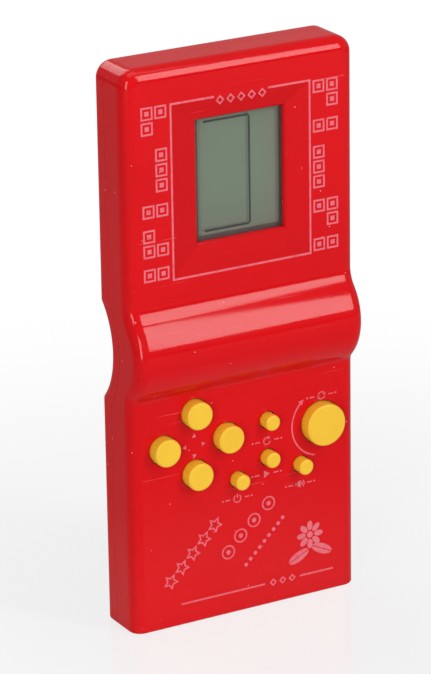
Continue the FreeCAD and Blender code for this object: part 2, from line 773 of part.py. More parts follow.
# Buttons and the silicone mat behind them


def button(name, kind):
    # The cap's own Z axis points out of the front, from the flange's back face.
    body = doc.addObject("PartDesign::Body", f"button_{name}")
    feature(body, "AdditiveCylinder", f"{name}_stem", {
        "Radius": f"{kind}_radius", "Height": "flange_back - panel + button_proud"})
    roundOff(body, f"{name}_edge", "button_round", lambda point, box: point.z > value("flange_back - panel"))
    feature(body, "AdditiveCylinder", f"{name}_flange", {
        "Radius": f"{kind}_radius + flange_width", "Height": "flange_thick"})
    if kind != "small":
        feature(body, "SubtractiveCylinder", f"{name}_hollow", {
            "Radius": f"{kind}_radius - button_side",
            "Height": "flange_back - panel + button_proud - button_roof"})
        feature(body, "AdditiveCylinder", f"{name}_post", {
            "Radius": f"{kind}_dome - dome_side",
            "Height": "flange_back - panel + button_proud - button_roof / 2"})
    put(body, f"{name}_x", "flange_back", f"{name}_z", towardsFront)
    node(f"button_{name}", body)


def rubberKeypad():
    mat = block("mat_sheet", ("-mat_half", "mat_half"), ("mat_front", "board_y"), ("mat_low", "mat_high"))
    domes, hollows, posts, pills, pads = [], [], [], [], []
    pillBack = "(board_y - button_travel)"
    for name, kind in buttonKinds.items():
        x, z = f"{name}_x", f"{name}_z"
        radius = f"{kind}_dome"
        pillRadius = f"({radius} - pill_inset)"
        domes.append(cone(f"dome_{name}", radius, f"{radius} + dome_flare", x, z,
                          ("flange_back", "mat_front + mat_thick / 2")))
        hollows.append(cone(f"dome_hollow_{name}", f"{radius} - dome_side",
                            f"{radius} + dome_flare - dome_side", x, z,
                            ("flange_back + dome_roof", "board_y")))
        posts.append(rod(f"dome_post_{name}", pillRadius, x, z,
                         ("flange_back + dome_roof / 2", f"{pillBack} - pill_thick")))
        pills.append(rod(f"pill_{name}", pillRadius, x, z, (f"{pillBack} - pill_thick", pillBack)))
        pads.append(rod(f"pad_{name}", pillRadius, x, z, ("board_y - pad_thick", "board_y")))
    bossSpace = "(board_boss + head_gap)"
    sheetY = ("mat_front - past", "board_y + past")
    clearances = [rod("mat_clear_centre", bossSpace, "0", "board_boss_centre_z", sheetY)]
    for side, name in (("-", "left"), ("", "right")):
        near, far = f"{side}(board_boss_low_x - {bossSpace})", f"{side}(mat_half + past)"
        clearances.append(block(f"mat_clear_{name}", (far, near) if side else (near, far), sheetY,
                                ("mat_low - past", f"board_boss_low_z + {bossSpace}")))
    hollowed = cut("mat_hollowed", join("mat_solid", mat, *domes), *hollows, *clearances)
    node("rubber_keypad", join("rubber_keypad", hollowed, *posts))
    node("contact_pills", group("contact_pills", pills))
    node("carbon_pads", group("carbon_pads", pads))


# Fasteners


def screw(name, size, x, z, seat):
    # Pan head with a cross, driven from behind; the seat is the face under the head.
    head = rod(name + "_head", f"{size}_head", x, z, (seat, f"{seat} + {size}_head_high"))
    shank = rod(name + "_shank", f"{size}_shank", x, z, (f"{seat} - {size}_long", seat))
    slotY = (f"{seat} + {size}_head_high - cross_deep", f"{seat} + {size}_head_high + past")
    narrow, wide = "cross_wide / 2", "cross_long / 2"
    uprightSlot = block(name + "_slot_up", (f"{x} - {narrow}", f"{x} + {narrow}"), slotY,
                        (f"{z} - {wide}", f"{z} + {wide}"))
    levelSlot = block(name + "_slot_level", (f"{x} - {wide}", f"{x} + {wide}"), slotY,
                      (f"{z} - {narrow}", f"{z} + {narrow}"))
    return cut(name, join(name + "_blank", head, shank), uprightSlot, levelSlot)


def screws():
    node("case_screws", group("case_screws", [
        screw(f"case_screw_{number}", "case_screw", x, z, "case_seat_y")
        for number, (x, z) in enumerate(caseScrewSpots)]))
    node("board_screws", group("board_screws", [
        screw(f"board_screw_{number}", "board_screw", x, z, "board_back")
        for number, (x, z) in enumerate(boardScrewSpots)]))


# Cells and their contacts: the lower cell's cap is at the left, the upper cell's at the right


def cell(name, z, capAtRight):
    # The ends run from the contact plate at the cap: the left one, or the right one for the upper cell.
    cap = "(contact_thick - bay_half)"
    shoulder = f"({cap} + nipple_high)"
    base = f"({cap} + cell_long)"

    def across(low, high):
        return (f"-{high}", f"-{low}") if capAtRight else (low, high)

    can = crossRod(name + "_can", "cell_radius", "cell_y", z, across(shoulder, base))
    nipple = crossRod(name + "_nipple", "nipple_radius", "cell_y", z, across(cap, shoulder))
    node(name, join(name, can, nipple))


def contactPlate(name, x, lowCell, highCell):
    # A spring-steel plate against the bay's end wall, from one cell's axis to the other's and beyond.
    return block(name + "_plate", x, ("cell_y - contact_half", "cell_y + contact_half"),
                 (f"{lowCell} - contact_half", f"{highCell} + contact_half"))


def contacts():
    atLeft = ("-bay_half", "contact_thick - bay_half")
    for name, z in (("positive_contact", "cell_low_z"), ("negative_contact", "cell_high_z")):
        tab = block(name + "_tab", ("-bay_half - contact_tab", "contact_thick - bay_half"),
                    ("cell_y - contact_tab_wide / 2", "cell_y + contact_tab_wide / 2"),
                    (f"{z} - contact_thick / 2", f"{z} + contact_thick / 2"))
        node(name, join(name, contactPlate(name, atLeft, z, z), tab))
    node("bridge_contact", contactPlate("bridge_contact", ("bay_half - contact_thick", "bay_half"),
                                        "cell_low_z", "cell_high_z"))


# Wound and routed parts, made from points


def arcFrom(start, heading, end):
    # The arc that leaves the start along the heading and reaches the end.
    chord = end - start
    along = Vector(chord).normalize()
    aside = heading - along * heading.dot(along)
    if aside.Length < 1e-9:
        return Part.LineSegment(start, end).toShape()
    half = math.acos(max(-1.0, min(1.0, heading.dot(along))))
    rise = chord.Length / 2 * math.tan(half / 2)
    return Part.Arc(start, start + chord / 2 + aside.normalize() * rise, end).toShape()


def biarc(start, heading, end, endHeading):
    # Two arcs that meet smoothly and keep both end directions.
    chord = end - start
    both = heading + endHeading
    spread = 2 * (1 - heading.dot(endHeading))
    lean = chord.dot(both)
    reach = (math.sqrt(lean * lean + spread * chord.dot(chord)) - lean) / spread
    joint = (start + heading * reach + end - endHeading * reach) / 2
    backwards = arcFrom(end, endHeading * -1, joint)
    return [arcFrom(start, heading, joint), backwards]


def tubeAlong(edges, start, heading, radius):
    path = Part.Wire(Part.__sortEdges__(edges))
    ring = Part.Wire(Part.Circle(start, heading, radius).toShape())
    tube = path.makePipeShell([ring], True, False)
    print("  volume over section times length: %.4f" % (tube.Volume / (math.pi * radius ** 2 * path.Length)))
    return tube


def formed(name, shape, placement=Placement()):
    thing = doc.addObject("Part::Feature", name)
    thing.Shape = shape
    thing.Placement = placement
    return node(name, thing)


def spring(name, z, fromRight):
    # A conical coil from its plate to the flat end of its cell; X grows from the plate.
    wire = value("spring_wire") / 2
    length = value("spring_space")
    straight = value("spring_straight")
    base = value("spring_base")
    tip = value("spring_tip")
    turns = value("spring_turns")
    coilLength = length - 2 * straight
    rise = 0.75 * wire
    quarters = int(round(turns * 4))

    def spot(quarter):
        share = quarter / quarters
        angle = math.pi / 2 * quarter
        radius = base + (tip - base) * share
        return Vector(straight + rise + (coilLength - 2 * rise) * share,
                      radius * math.cos(angle), radius * math.sin(angle))

    def heading(quarter):
        step = 0.001
        return (spot(quarter + step) - spot(quarter - step)).normalize()

    axial = Vector(1, 0, 0)
    first, last = 1, quarters - 1
    start = Vector(0, base, 0)
    tipAngle = math.pi / 2 * quarters
    end = Vector(length, tip * math.cos(tipAngle), tip * math.sin(tipAngle))
    edges = [Part.LineSegment(start, start + axial * straight).toShape()]
    edges += biarc(start + axial * straight, axial, spot(first), heading(first))
    for quarter in range(first, last):
        edges += biarc(spot(quarter), heading(quarter), spot(quarter + 1), heading(quarter + 1))
    edges += biarc(spot(last), heading(last), end - axial * straight, axial)
    edges.append(Part.LineSegment(end - axial * straight, end).toShape())
    tube = tubeAlong(edges, start, axial, wire)

    samples = [spot(quarters * step / 400) for step in range(401)]
    perTurn = 400 / turns
    gap = min((samples[i] - samples[j]).Length for i in range(401) for j in range(i + int(perTurn / 2), 401))
    print(f"{name}: least gap between turns {gap - 2 * wire:.2f}, tightest coil radius {tip:.2f}")

    plate = value("bay_half - contact_thick")
    turn = Rotation(Vector(0, 0, 1), 180) if fromRight else Rotation()
    side = 1 if fromRight else -1
    formed(name, tube, Placement(Vector(side * plate, value("cell_y"), value(z)), turn))


def leadShape(name, points):
    # Straight runs joined by arcs, each as large as its two runs allow.
    radius = value("lead_radius")
    edges = []
    radii = []
    last = points[0]
    for before, corner, after in zip(points, points[1:], points[2:]):
        into = (corner - before).normalize()
        out = (after - corner).normalize()
        turn = math.acos(max(-1.0, min(1.0, into.dot(out))))
        reach = 0.45 * min((corner - before).Length, (after - corner).Length)
        radii.append(reach / math.tan(turn / 2))
        entry, leave = corner - into * reach, corner + out * reach
        edges.append(Part.LineSegment(last, entry).toShape())
        edges.append(arcFrom(entry, into, leave))
        last = leave
    edges.append(Part.LineSegment(last, points[-1]).toShape())
    print(f"{name}: arc radii " + ", ".join(f"{size:.1f}" for size in radii))
    return tubeAlong(edges, points[0], points[1] - points[0], radius)


def wiring():
    # Each lead leaves what it is soldered to square, and meets the board square.
    board = value("board_back")
    cellY = value("cell_y")
    tabEnd = -value("bay_half + contact_tab")
    lane = (tabEnd - value("case_width / 2 - wall")) / 2
    side = value("board_boss - board_low_half")
    low, high = value("cell_low_z"), value("cell_high_z")
    padLow = value("board_boss_low_z + board_boss + 3 * lead_radius")
    formed("battery_lead_positive", leadShape("battery_lead_positive", [
        Vector(tabEnd, cellY, low), Vector(lane + 0.8, cellY, low),
        Vector(lane - 0.1, cellY + 0.6, low + 4), Vector(lane - 0.2, cellY + 1.6, low + 13),
        Vector(lane + 0.1, cellY + 3.2, low + 23), Vector(side - 0.4, board + 4.8, padLow - 4.6),
        Vector(side, board + 4.2, padLow), Vector(side, board, padLow)]))
    formed("battery_lead_negative", leadShape("battery_lead_negative", [
        Vector(tabEnd, cellY, high), Vector(lane + 1.4, cellY, high),
        Vector(lane + 1.6, cellY + 1.2, high + 3), Vector(lane + 2.4, cellY + 3.0, high + 8),
        Vector(side + 3.2, board + 4.4, high + 14), Vector(side + 4.6, board + 4.2, padLow + 4.0),
        Vector(side + 4.6, board, padLow + 4.0)]))
    disc = value("inside_back - buzzer_ledge_high - buzzer_thick")
    ceramic = disc - value("ceramic_thick")
    centre = value("buzzer_z")
    rim = value("(buzzer_radius + ceramic_radius) / 2")
    formed("buzzer_lead_disc", leadShape("buzzer_lead_disc", [
        Vector(-rim, disc, centre), Vector(-rim, disc - 2.6, centre),
        Vector(-rim + 0.3, disc - 3.4, centre - 5), Vector(-rim + 1.4, board + 3.2, centre - 12),
        Vector(-rim + 2.4, board + 2.7, centre - 18), Vector(-rim + 2.4, board, centre - 18)]))
    formed("buzzer_lead_ceramic", leadShape("buzzer_lead_ceramic", [
        Vector(3.0, ceramic, centre - 3), Vector(3.0, ceramic - 2.6, centre - 3),
        Vector(2.6, ceramic - 3.2, centre - 8), Vector(0.6, board + 3.2, centre - 15),
        Vector(-1.5, board + 2.7, centre - 21), Vector(-1.5, board, centre - 21)]))


def buzzer():
    seat = "(inside_back - buzzer_ledge_high)"
    front = f"({seat} - buzzer_thick)"
    node("buzzer_disc", rod("buzzer_disc", "buzzer_radius", "0", "buzzer_z", (front, seat)))
    node("buzzer_ceramic", rod("buzzer_ceramic", "ceramic_radius", "0", "buzzer_z",
                               (f"{front} - ceramic_thick", front)))


frontShell()
backShell()
batteryCover()
screen()
mainBoard()
capacitor()
transistor()
resistors()
for buttonName, buttonKind in buttonKinds.items():
    button(buttonName, buttonKind)
rubberKeypad()
screws()
cell("battery_lower", "cell_low_z", False)
cell("battery_upper", "cell_high_z", True)
contacts()
buzzer()
spring("negative_spring", "cell_high_z", False)
spring("bridge_spring", "cell_low_z", True)
wiring()

doc.recompute()
for thing in doc.Objects:
    if any(word in thing.State for word in ("Invalid", "Error")):
        raise SystemExit(f"{thing.Label} did not build: {thing.State}")
os.makedirs("parts", exist_ok=True)
for name, thing in nodes.items():
    shape = thing.Shape
    if shape.isNull() or not shape.isValid() or not shape.Solids:
        raise SystemExit(f"{name} has no valid solid")
    shape.exportStep(f"parts/{name}.step")
    print(f"{name}: {len(shape.Solids)} solid(s), {shape.Volume:.1f} mm3")
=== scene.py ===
import math

import bpy
from mathutils import Matrix, Vector


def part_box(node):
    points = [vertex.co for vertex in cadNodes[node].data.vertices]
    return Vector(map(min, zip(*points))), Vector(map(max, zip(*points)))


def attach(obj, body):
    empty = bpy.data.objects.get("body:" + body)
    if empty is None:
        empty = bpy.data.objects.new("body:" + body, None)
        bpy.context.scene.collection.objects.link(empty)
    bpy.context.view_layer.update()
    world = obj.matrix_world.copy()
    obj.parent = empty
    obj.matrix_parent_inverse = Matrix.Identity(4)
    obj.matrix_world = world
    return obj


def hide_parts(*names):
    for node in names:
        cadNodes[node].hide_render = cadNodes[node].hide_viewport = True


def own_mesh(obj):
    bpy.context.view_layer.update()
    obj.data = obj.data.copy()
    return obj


# A handheld brick game in red plastic, standing on its bottom end. Lengths in the dictionaries are
# millimetres, and metres for the floor, the lamps and the camera's place. The scale of a pattern is its cells
# to the metre.

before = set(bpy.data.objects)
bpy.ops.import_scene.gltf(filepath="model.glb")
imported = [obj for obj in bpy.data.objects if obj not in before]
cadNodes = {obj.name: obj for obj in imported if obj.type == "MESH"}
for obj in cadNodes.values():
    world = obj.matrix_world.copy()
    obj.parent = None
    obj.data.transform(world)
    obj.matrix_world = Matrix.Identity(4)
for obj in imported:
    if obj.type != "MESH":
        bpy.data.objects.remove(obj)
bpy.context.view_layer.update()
mm = 0.001
print("frame loaded:", len(cadNodes), "CAD nodes")


# Materials

def startMaterial(name, look):
    # A Principled material whose plain values sit on the shader's own sockets.
    material = bpy.data.materials.new(name)
    material.use_nodes = True
    shader = material.node_tree.nodes["Principled BSDF"]
    for socket, setting in look.items():
        shader.inputs[socket].default_value = setting
    return material, material.node_tree, shader


def addNode(tree, kind, inputs=None, **settings):
    # Inputs are either another node's output or a plain value.
    node = tree.nodes.new("ShaderNode" + kind)
    for name, setting in settings.items():
        setattr(node, name, setting)
    for key, source in (inputs or {}).items():
        if isinstance(source, bpy.types.NodeSocket):
            tree.links.new(source, node.inputs[key])
        else:
            node.inputs[key].default_value = source
    return node


def remap(tree, value, start, end, low=0.0, high=1.0, **settings):
    # Brings what lies between start and end to between low and high.
    node = addNode(tree, "MapRange", {"Value": value, "From Min": start, "From Max": end,
                                      "To Min": low, "To Max": high}, **settings)
    return node.outputs["Result"]


def objectPoint(tree, stretch=(1, 1, 1), turn=(0, 0, 0)):
    place = addNode(tree, "TexCoord").outputs["Object"]
    return addNode(tree, "Mapping", {"Vector": place, "Scale": stretch, "Rotation": turn}).outputs["Vector"]


def cloudy(tree, point, scale, low, high, detail=3, span=(0.3, 0.7)):
    # Soft noise, brought from its usual span to the wanted low and high.
    noise = addNode(tree, "TexNoise", {"Vector": point, "Scale": scale, "Detail": detail})
    return remap(tree, noise.outputs["Fac"], *span, low, high)


def blendColours(tree, share, first, second):
    # The node's colour sockets share their names with its number sockets, so they are taken by their places.
    mix = addNode(tree, "Mix", {"Factor": share}, data_type="RGBA")
    for socket, colour in ((mix.inputs[6], first), (mix.inputs[7], second)):
        if isinstance(colour, bpy.types.NodeSocket):
            tree.links.new(colour, socket)
        else:
            socket.default_value = (*colour, 1)
    return mix.outputs[2]


def maths(tree, operation, first, second=0.0, third=0.0):
    node = addNode(tree, "Math", operation=operation)
    for socket, source in zip(node.inputs, (first, second, third)):
        if isinstance(source, bpy.types.NodeSocket):
            tree.links.new(source, socket)
        else:
            socket.default_value = source
    return node.outputs[0]


def scaleColour(tree, colour, share):
    # The colour made darker, or lighter with a share above one.
    return addNode(tree, "VectorMath", {0: colour, "Scale": share}, operation="SCALE").outputs["Vector"]


def addSmears(tree, shader, look, detail=3):
    # Soft smears carry the roughness between the look's two limits.
    smears = cloudy(tree, objectPoint(tree), look["smears"], *look["rough"], detail)
    tree.links.new(smears, shader.inputs["Roughness"])


def addBump(tree, shader, height, strength, distance):
    bump = addNode(tree, "Bump", {"Height": height, "Strength": strength, "Distance": distance * mm})
    tree.links.new(bump.outputs["Normal"], shader.inputs["Normal"])


# Each set of scratches has its turn, its stretch along and across, and how rare it is.
plasticRed = {
    "base": (0.655, 0.0033, 0.0060), "deep": (0.600, 0.0030, 0.0064), "scratch": (0.76, 0.14, 0.15),
    "rough": (0.06, 0.12), "specular": 0.20, "bend": 1.5,
    "moulding": 22.0, "haze": 48.0, "peel": 420.0, "grain": 5200.0, "grainShare": 0.25,
    "relief": 0.25, "depth": 0.012,
    "scratches": (((0.2, 0.55, 0.9), 14, 2600, 0.745), ((1.1, -0.4, 0.3), 18, 2100, 0.755)),
    "scratchFlat": 0.9, "scratchEdge": 0.03, "scratchPatches": 60.0, "patchSpan": (0.45, 0.65),
    "scratchShare": 0.8, "scratchRough": 0.3, "scratchDepth": 1.5,
    "dust": (0.85, 0.62, 0.60), "dustPitch": 3.2, "dustSize": 0.045, "dustPatches": 190.0, "dustRarity": 0.62,
}


def hairlines(tree, turn, along, across, rarity):
    # Long thin scratches: noise drawn out along one direction, of which only the peaks are kept.
    point = objectPoint(tree, (along, across, across * plasticRed["scratchFlat"]), turn)
    noise = addNode(tree, "TexNoise", {"Vector": point, "Scale": 1.0, "Detail": 1})
    return remap(tree, noise.outputs["Fac"], rarity, rarity + plasticRed["scratchEdge"])


# The recess round the window is too shallow to shade its slopes, so each has painted shade: its own share of
# the colour.
paintedRecessShade = {
    "windowHalf": 15.1, "half": 23.2, "windowLow": 121.8, "windowHigh": 160.0, "low": 112.6, "high": 165.8,
    "left": 0.86, "right": 0.95, "top": 0.86, "foot": 0.93, "front": -5.0, "soft": 1.0,
}


def spread(tree, value, start, end):
    # Zero at the start and one at the end, in millimetres, and not held between them.
    return remap(tree, value, start * mm, end * mm, clamp=False)


def recessShadeShare(tree):
    # What share of the colour the recess's painted shade leaves at each place: one outside the recess.
    look = paintedRecessShade
    split = addNode(tree, "SeparateXYZ", {"Vector": objectPoint(tree)})
    across, depth, upwards = (split.outputs[axis] for axis in "XYZ")
    toSide = spread(tree, maths(tree, "ABSOLUTE", across), look["windowHalf"], look["half"])
    toTop = spread(tree, upwards, look["windowHigh"], look["high"])
    toFoot = spread(tree, upwards, look["windowLow"], look["low"])
    toEnd = maths(tree, "MAXIMUM", toTop, toFoot)
    soft = look["soft"] * mm
    middle = (look["windowLow"] + look["windowHigh"]) / 2 * mm
    side = remap(tree, across, -soft, soft, look["left"], look["right"])
    end = remap(tree, upwards, middle - soft, middle + soft, look["foot"], look["top"])
    onSide = maths(tree, "GREATER_THAN", toSide, toEnd)
    slope = addNode(tree, "Mix", {"Factor": onSide, "A": end, "B": side}).outputs["Result"]
    inside = maths(tree, "LESS_THAN", maths(tree, "MAXIMUM", toSide, toEnd), 1.0)
    inside = maths(tree, "MULTIPLY", inside, maths(tree, "LESS_THAN", depth, look["front"] * mm))
    return addNode(tree, "Mix", {"Factor": inside, "A": 1.0, "B": slope}).outputs["Result"]


def casingMaterial():
    look = plasticRed
    material, tree, shader = startMaterial("casing_red", {"Specular IOR Level": look["specular"],
                                                          "IOR": look["bend"]})
    point = objectPoint(tree)
    flow = cloudy(tree, point, look["moulding"], 0, 1)
    colour = blendColours(tree, flow, look["base"], look["deep"])
    first, second = [hairlines(tree, *lines) for lines in look["scratches"]]
    patches = cloudy(tree, point, look["scratchPatches"], 0, look["scratchShare"], span=look["patchSpan"])
    faint = maths(tree, "MULTIPLY", maths(tree, "MAXIMUM", first, second), patches)
    specks = addNode(tree, "TexVoronoi", {"Vector": point, "Scale": 1 / (look["dustPitch"] * mm)})
    dust = maths(tree, "LESS_THAN", specks.outputs["Distance"], look["dustSize"])
    patches = cloudy(tree, point, look["dustPatches"], 0, 1, detail=1)
    dust = maths(tree, "MULTIPLY", dust, maths(tree, "GREATER_THAN", patches, look["dustRarity"]))
    # The recess slopes are darkened here by their painted shade.
    colour = blendColours(tree, faint, scaleColour(tree, colour, recessShadeShare(tree)), look["scratch"])
    tree.links.new(blendColours(tree, dust, colour, look["dust"]), shader.inputs["Base Color"])
    haze = cloudy(tree, point, look["haze"], *look["rough"], detail=6)
    tree.links.new(maths(tree, "MULTIPLY_ADD", faint, look["scratchRough"], haze), shader.inputs["Roughness"])
    peel = cloudy(tree, point, look["peel"], 0, 1, detail=2)
    grain = cloudy(tree, point, look["grain"], 0, look["grainShare"], detail=1)
    cuts = maths(tree, "MULTIPLY", faint, look["scratchDepth"])
    height = maths(tree, "SUBTRACT", maths(tree, "ADD", peel, grain), cuts)
    addBump(tree, shader, height, look["relief"], look["depth"])
    return material


plasticYellow = {
    "base": (0.850, 0.530, 0.034), "deep": (0.825, 0.485, 0.028),
    "rough": (0.30, 0.42), "specular": 0.34, "bend": 1.49,
    "cloud": 160.0, "smears": 400.0, "grain": 2600.0, "relief": 0.2, "depth": 0.01,
}


def buttonMaterial():
    look = plasticYellow
    material, tree, shader = startMaterial("button_yellow", {"Specular IOR Level": look["specular"],
                                                             "IOR": look["bend"]})
    point = objectPoint(tree)
    colour = blendColours(tree, cloudy(tree, point, look["cloud"], 0, 1), look["base"], look["deep"])
    tree.links.new(colour, shader.inputs["Base Color"])
    addSmears(tree, shader, look, detail=5)
    addBump(tree, shader, cloudy(tree, point, look["grain"], 0, 1, detail=2), look["relief"], look["depth"])
    return material


# Every plain finish: two shades that a soft pattern blends, a range of roughness, a fine relief's depth, and
# how metallic it is if it is a metal.
plainPattern = {"roughPerCloud": 1.7, "relief": 0.3}
finishes = {
    "holder_black": {"base": (0.020, 0.020, 0.021), "deep": (0.032, 0.031, 0.031), "rough": (0.5, 0.65),
                     "cloud": 120, "grain": 3200, "relief": 0.02},
    "black_foam": {"base": (0.012, 0.012, 0.012), "deep": (0.03, 0.03, 0.03), "rough": (0.85, 0.98),
                   "cloud": 900, "grain": 5200, "relief": 0.08},
    "silicone": {"base": (0.62, 0.62, 0.59), "deep": (0.55, 0.55, 0.53), "rough": (0.42, 0.55),
                 "cloud": 90, "grain": 1800, "relief": 0.02},
    "carbon": {"base": (0.02, 0.02, 0.022), "deep": (0.045, 0.045, 0.048), "rough": (0.55, 0.8),
               "cloud": 500, "grain": 4200, "relief": 0.02},
    "black_epoxy": {"base": (0.010, 0.010, 0.011), "deep": (0.018, 0.017, 0.016), "rough": (0.12, 0.3),
                    "cloud": 200, "grain": 900, "relief": 0.03},
    "ceramic": {"base": (0.64, 0.63, 0.59), "deep": (0.55, 0.54, 0.50), "rough": (0.3, 0.5),
                "cloud": 260, "grain": 2400, "relief": 0.015, "metal": 0.6},
    "brass_disc": {"base": (0.72, 0.52, 0.22), "deep": (0.56, 0.38, 0.15), "rough": (0.2, 0.38),
                   "cloud": 130, "grain": 2200, "relief": 0.01, "metal": 1.0},
    "screw_steel": {"base": (0.60, 0.60, 0.62), "deep": (0.42, 0.42, 0.43), "rough": (0.22, 0.42),
                    "cloud": 700, "grain": 3600, "relief": 0.015, "metal": 1.0},
    "spring_steel": {"base": (0.70, 0.69, 0.66), "deep": (0.52, 0.50, 0.47), "rough": (0.14, 0.3),
                     "cloud": 420, "grain": 3000, "relief": 0.01, "metal": 1.0},
    "lead_red": {"base": (0.52, 0.012, 0.014), "deep": (0.42, 0.012, 0.014), "rough": (0.3, 0.45),
                 "cloud": 260, "grain": 3200, "relief": 0.01},
    "lead_black": {"base": (0.014, 0.014, 0.015), "deep": (0.028, 0.028, 0.028), "rough": (0.3, 0.45),
                   "cloud": 260, "grain": 3200, "relief": 0.01},
    "reflector_film": {"base": (0.46, 0.48, 0.45), "deep": (0.40, 0.42, 0.39), "rough": (0.28, 0.42),
                       "cloud": 300, "grain": 4000, "relief": 0.01, "metal": 0.7},
}


def plainFinish(name):
    look = finishes[name]
    material, tree, shader = startMaterial(name, {"Metallic": look.get("metal", 0.0)})
    point = objectPoint(tree)
    mottle = cloudy(tree, point, look["cloud"], 0, 1, detail=4)
    tree.links.new(blendColours(tree, mottle, look["base"], look["deep"]), shader.inputs["Base Color"])
    rub = cloudy(tree, point, look["cloud"] * plainPattern["roughPerCloud"], *look["rough"], detail=5)
    tree.links.new(rub, shader.inputs["Roughness"])
    grain = cloudy(tree, point, look["grain"], 0, 1, detail=2)
    addBump(tree, shader, grain, plainPattern["relief"], look["relief"])
    return material


clearPlate = {"tint": (0.80, 0.84, 0.82), "dust": (0.95, 0.95, 0.93), "dustGrain": 1500.0,
              "dustSpan": (0.55, 0.7), "dustShare": 0.3, "alpha": 0.03, "bend": 1.49,
              "smears": 70.0, "rough": (0.03, 0.08), "specular": 0.22}


def clearMaterial():
    look = clearPlate
    material, tree, shader = startMaterial("clear_plate", {"Alpha": look["alpha"], "IOR": look["bend"],
                                                           "Specular IOR Level": look["specular"]})
    dusty = cloudy(tree, objectPoint(tree), look["dustGrain"], 0, look["dustShare"], span=look["dustSpan"])
    tree.links.new(blendColours(tree, dusty, look["tint"], look["dust"]), shader.inputs["Base Color"])
    addSmears(tree, shader, look)
    return material


glassLook = {"tint": (0.60, 0.68, 0.62), "deep": (0.30, 0.42, 0.36), "deepShare": 0.5, "cloud": 80.0,
             "transmission": 0.85, "bend": 1.52, "smears": 240.0, "rough": (0.02, 0.08)}


def displayGlassMaterial():
    look = glassLook
    material, tree, shader = startMaterial("display_glass", {"Transmission Weight": look["transmission"],
                                                             "IOR": look["bend"]})
    cloud = cloudy(tree, objectPoint(tree), look["cloud"], 0, look["deepShare"])
    tree.links.new(blendColours(tree, cloud, look["tint"], look["deep"]), shader.inputs["Base Color"])
    addSmears(tree, shader, look)
    return material


displayLook = {
    "upper": (0.120, 0.162, 0.107), "lower": (0.110, 0.137, 0.092), "wallReflection": (0.152, 0.141, 0.110),
    "shade": (0.050, 0.058, 0.043), "edge": (0.055, 0.022, 0.018),
    "low": 121.0, "rise": 16.0, "right": 15.1, "wallReflectionReach": 7.0, "wallReflectionShare": 0.55,
    "edgeLeft": -13.0, "edgeRight": 14.5, "edgeLow": 123.1, "edgeSoft": 0.35,
    "lineLeft": -11.0, "lineRight": 4.95, "lineLow": 123.8, "lineHigh": 158.4,
    "shadowShift": (-1.2, 0.9), "shadowHalf": 0.5, "shadowShare": 0.8,
    "specks": 2600.0, "speckTone": (0.96, 1.04), "smears": 90.0, "rough": (0.32, 0.44), "specular": 0.2,
}


def bandAround(tree, value, centre, half):
    # One on the line, falling to nothing at the half width.
    gap = maths(tree, "ABSOLUTE", maths(tree, "SUBTRACT", value, centre * mm))
    return remap(tree, gap, 0.0, half * mm, 1.0, 0.0, interpolation_type="SMOOTHSTEP")


def within(tree, value, low, high):
    # One between low and high, else nothing.
    above = maths(tree, "GREATER_THAN", value, low * mm)
    return maths(tree, "MULTIPLY", above, maths(tree, "LESS_THAN", value, high * mm))


def pastEdge(tree, value, start, soft):
    # One beyond the edge, softly; a soft width below zero looks the other way.
    return remap(tree, value, start * mm, (start + soft) * mm)


def displayFilmMaterial():
    # The liquid crystal panel: greenish grey, warmer towards its right and lower edges with a painted
    # reflection of the red window walls, with the line's painted soft shadow, and with painted shade along
    # three of its edges, where the window's walls shade it.
    look = displayLook
    material, tree, shader = startMaterial("display_film", {"Specular IOR Level": look["specular"]})
    split = addNode(tree, "SeparateXYZ", {"Vector": objectPoint(tree)})
    across, upwards = split.outputs["X"], split.outputs["Z"]
    rise = pastEdge(tree, upwards, look["low"], look["rise"])
    colour = blendColours(tree, rise, look["lower"], look["upper"])
    # Painted reflection of the red window walls, warming the colour towards the right and lower edges.
    reach = look["wallReflectionReach"]
    toRight = pastEdge(tree, across, look["right"] - reach, reach)
    toFoot = pastEdge(tree, upwards, look["low"] + reach, -reach)
    corner = maths(tree, "MULTIPLY", maths(tree, "MAXIMUM", toRight, toFoot), look["wallReflectionShare"])
    colour = blendColours(tree, corner, colour, look["wallReflection"])
    aside, above = look["shadowShift"]
    half = look["shadowHalf"]
    upright = maths(tree, "MULTIPLY", bandAround(tree, across, look["lineRight"] + aside, half),
                    within(tree, upwards, look["lineLow"] + above, look["lineHigh"] + above))
    alongSpan = within(tree, across, look["lineLeft"] + aside, look["lineRight"] + aside)
    levels = maths(tree, "MAXIMUM", bandAround(tree, upwards, look["lineLow"] + above, half),
                   bandAround(tree, upwards, look["lineHigh"] + above, half))
    shadow = maths(tree, "MAXIMUM", upright, maths(tree, "MULTIPLY", levels, alongSpan))
    colour = blendColours(tree, maths(tree, "MULTIPLY", shadow, look["shadowShare"]), colour, look["shade"])
    # Painted shade along the right, left and lower edges, where the window's walls shade the panel.
    edgeShade = maths(tree, "MAXIMUM", pastEdge(tree, across, look["edgeRight"], look["edgeSoft"]),
                 maths(tree, "MAXIMUM", pastEdge(tree, across, look["edgeLeft"], -look["edgeSoft"]),
                       pastEdge(tree, upwards, look["edgeLow"], -look["edgeSoft"])))
    colour = blendColours(tree, edgeShade, colour, look["edge"])
    specks = cloudy(tree, objectPoint(tree), look["specks"], *look["speckTone"], detail=2)
    tree.links.new(scaleColour(tree, colour, specks), shader.inputs["Base Color"])
    addSmears(tree, shader, look)
    return material


stripedLook = {"pitch": 0.3, "stray": 0.4, "dark": (0.05, 0.05, 0.055), "light": (0.62, 0.56, 0.52),
               "rough": 0.6, "relief": 0.3, "depth": 0.03}


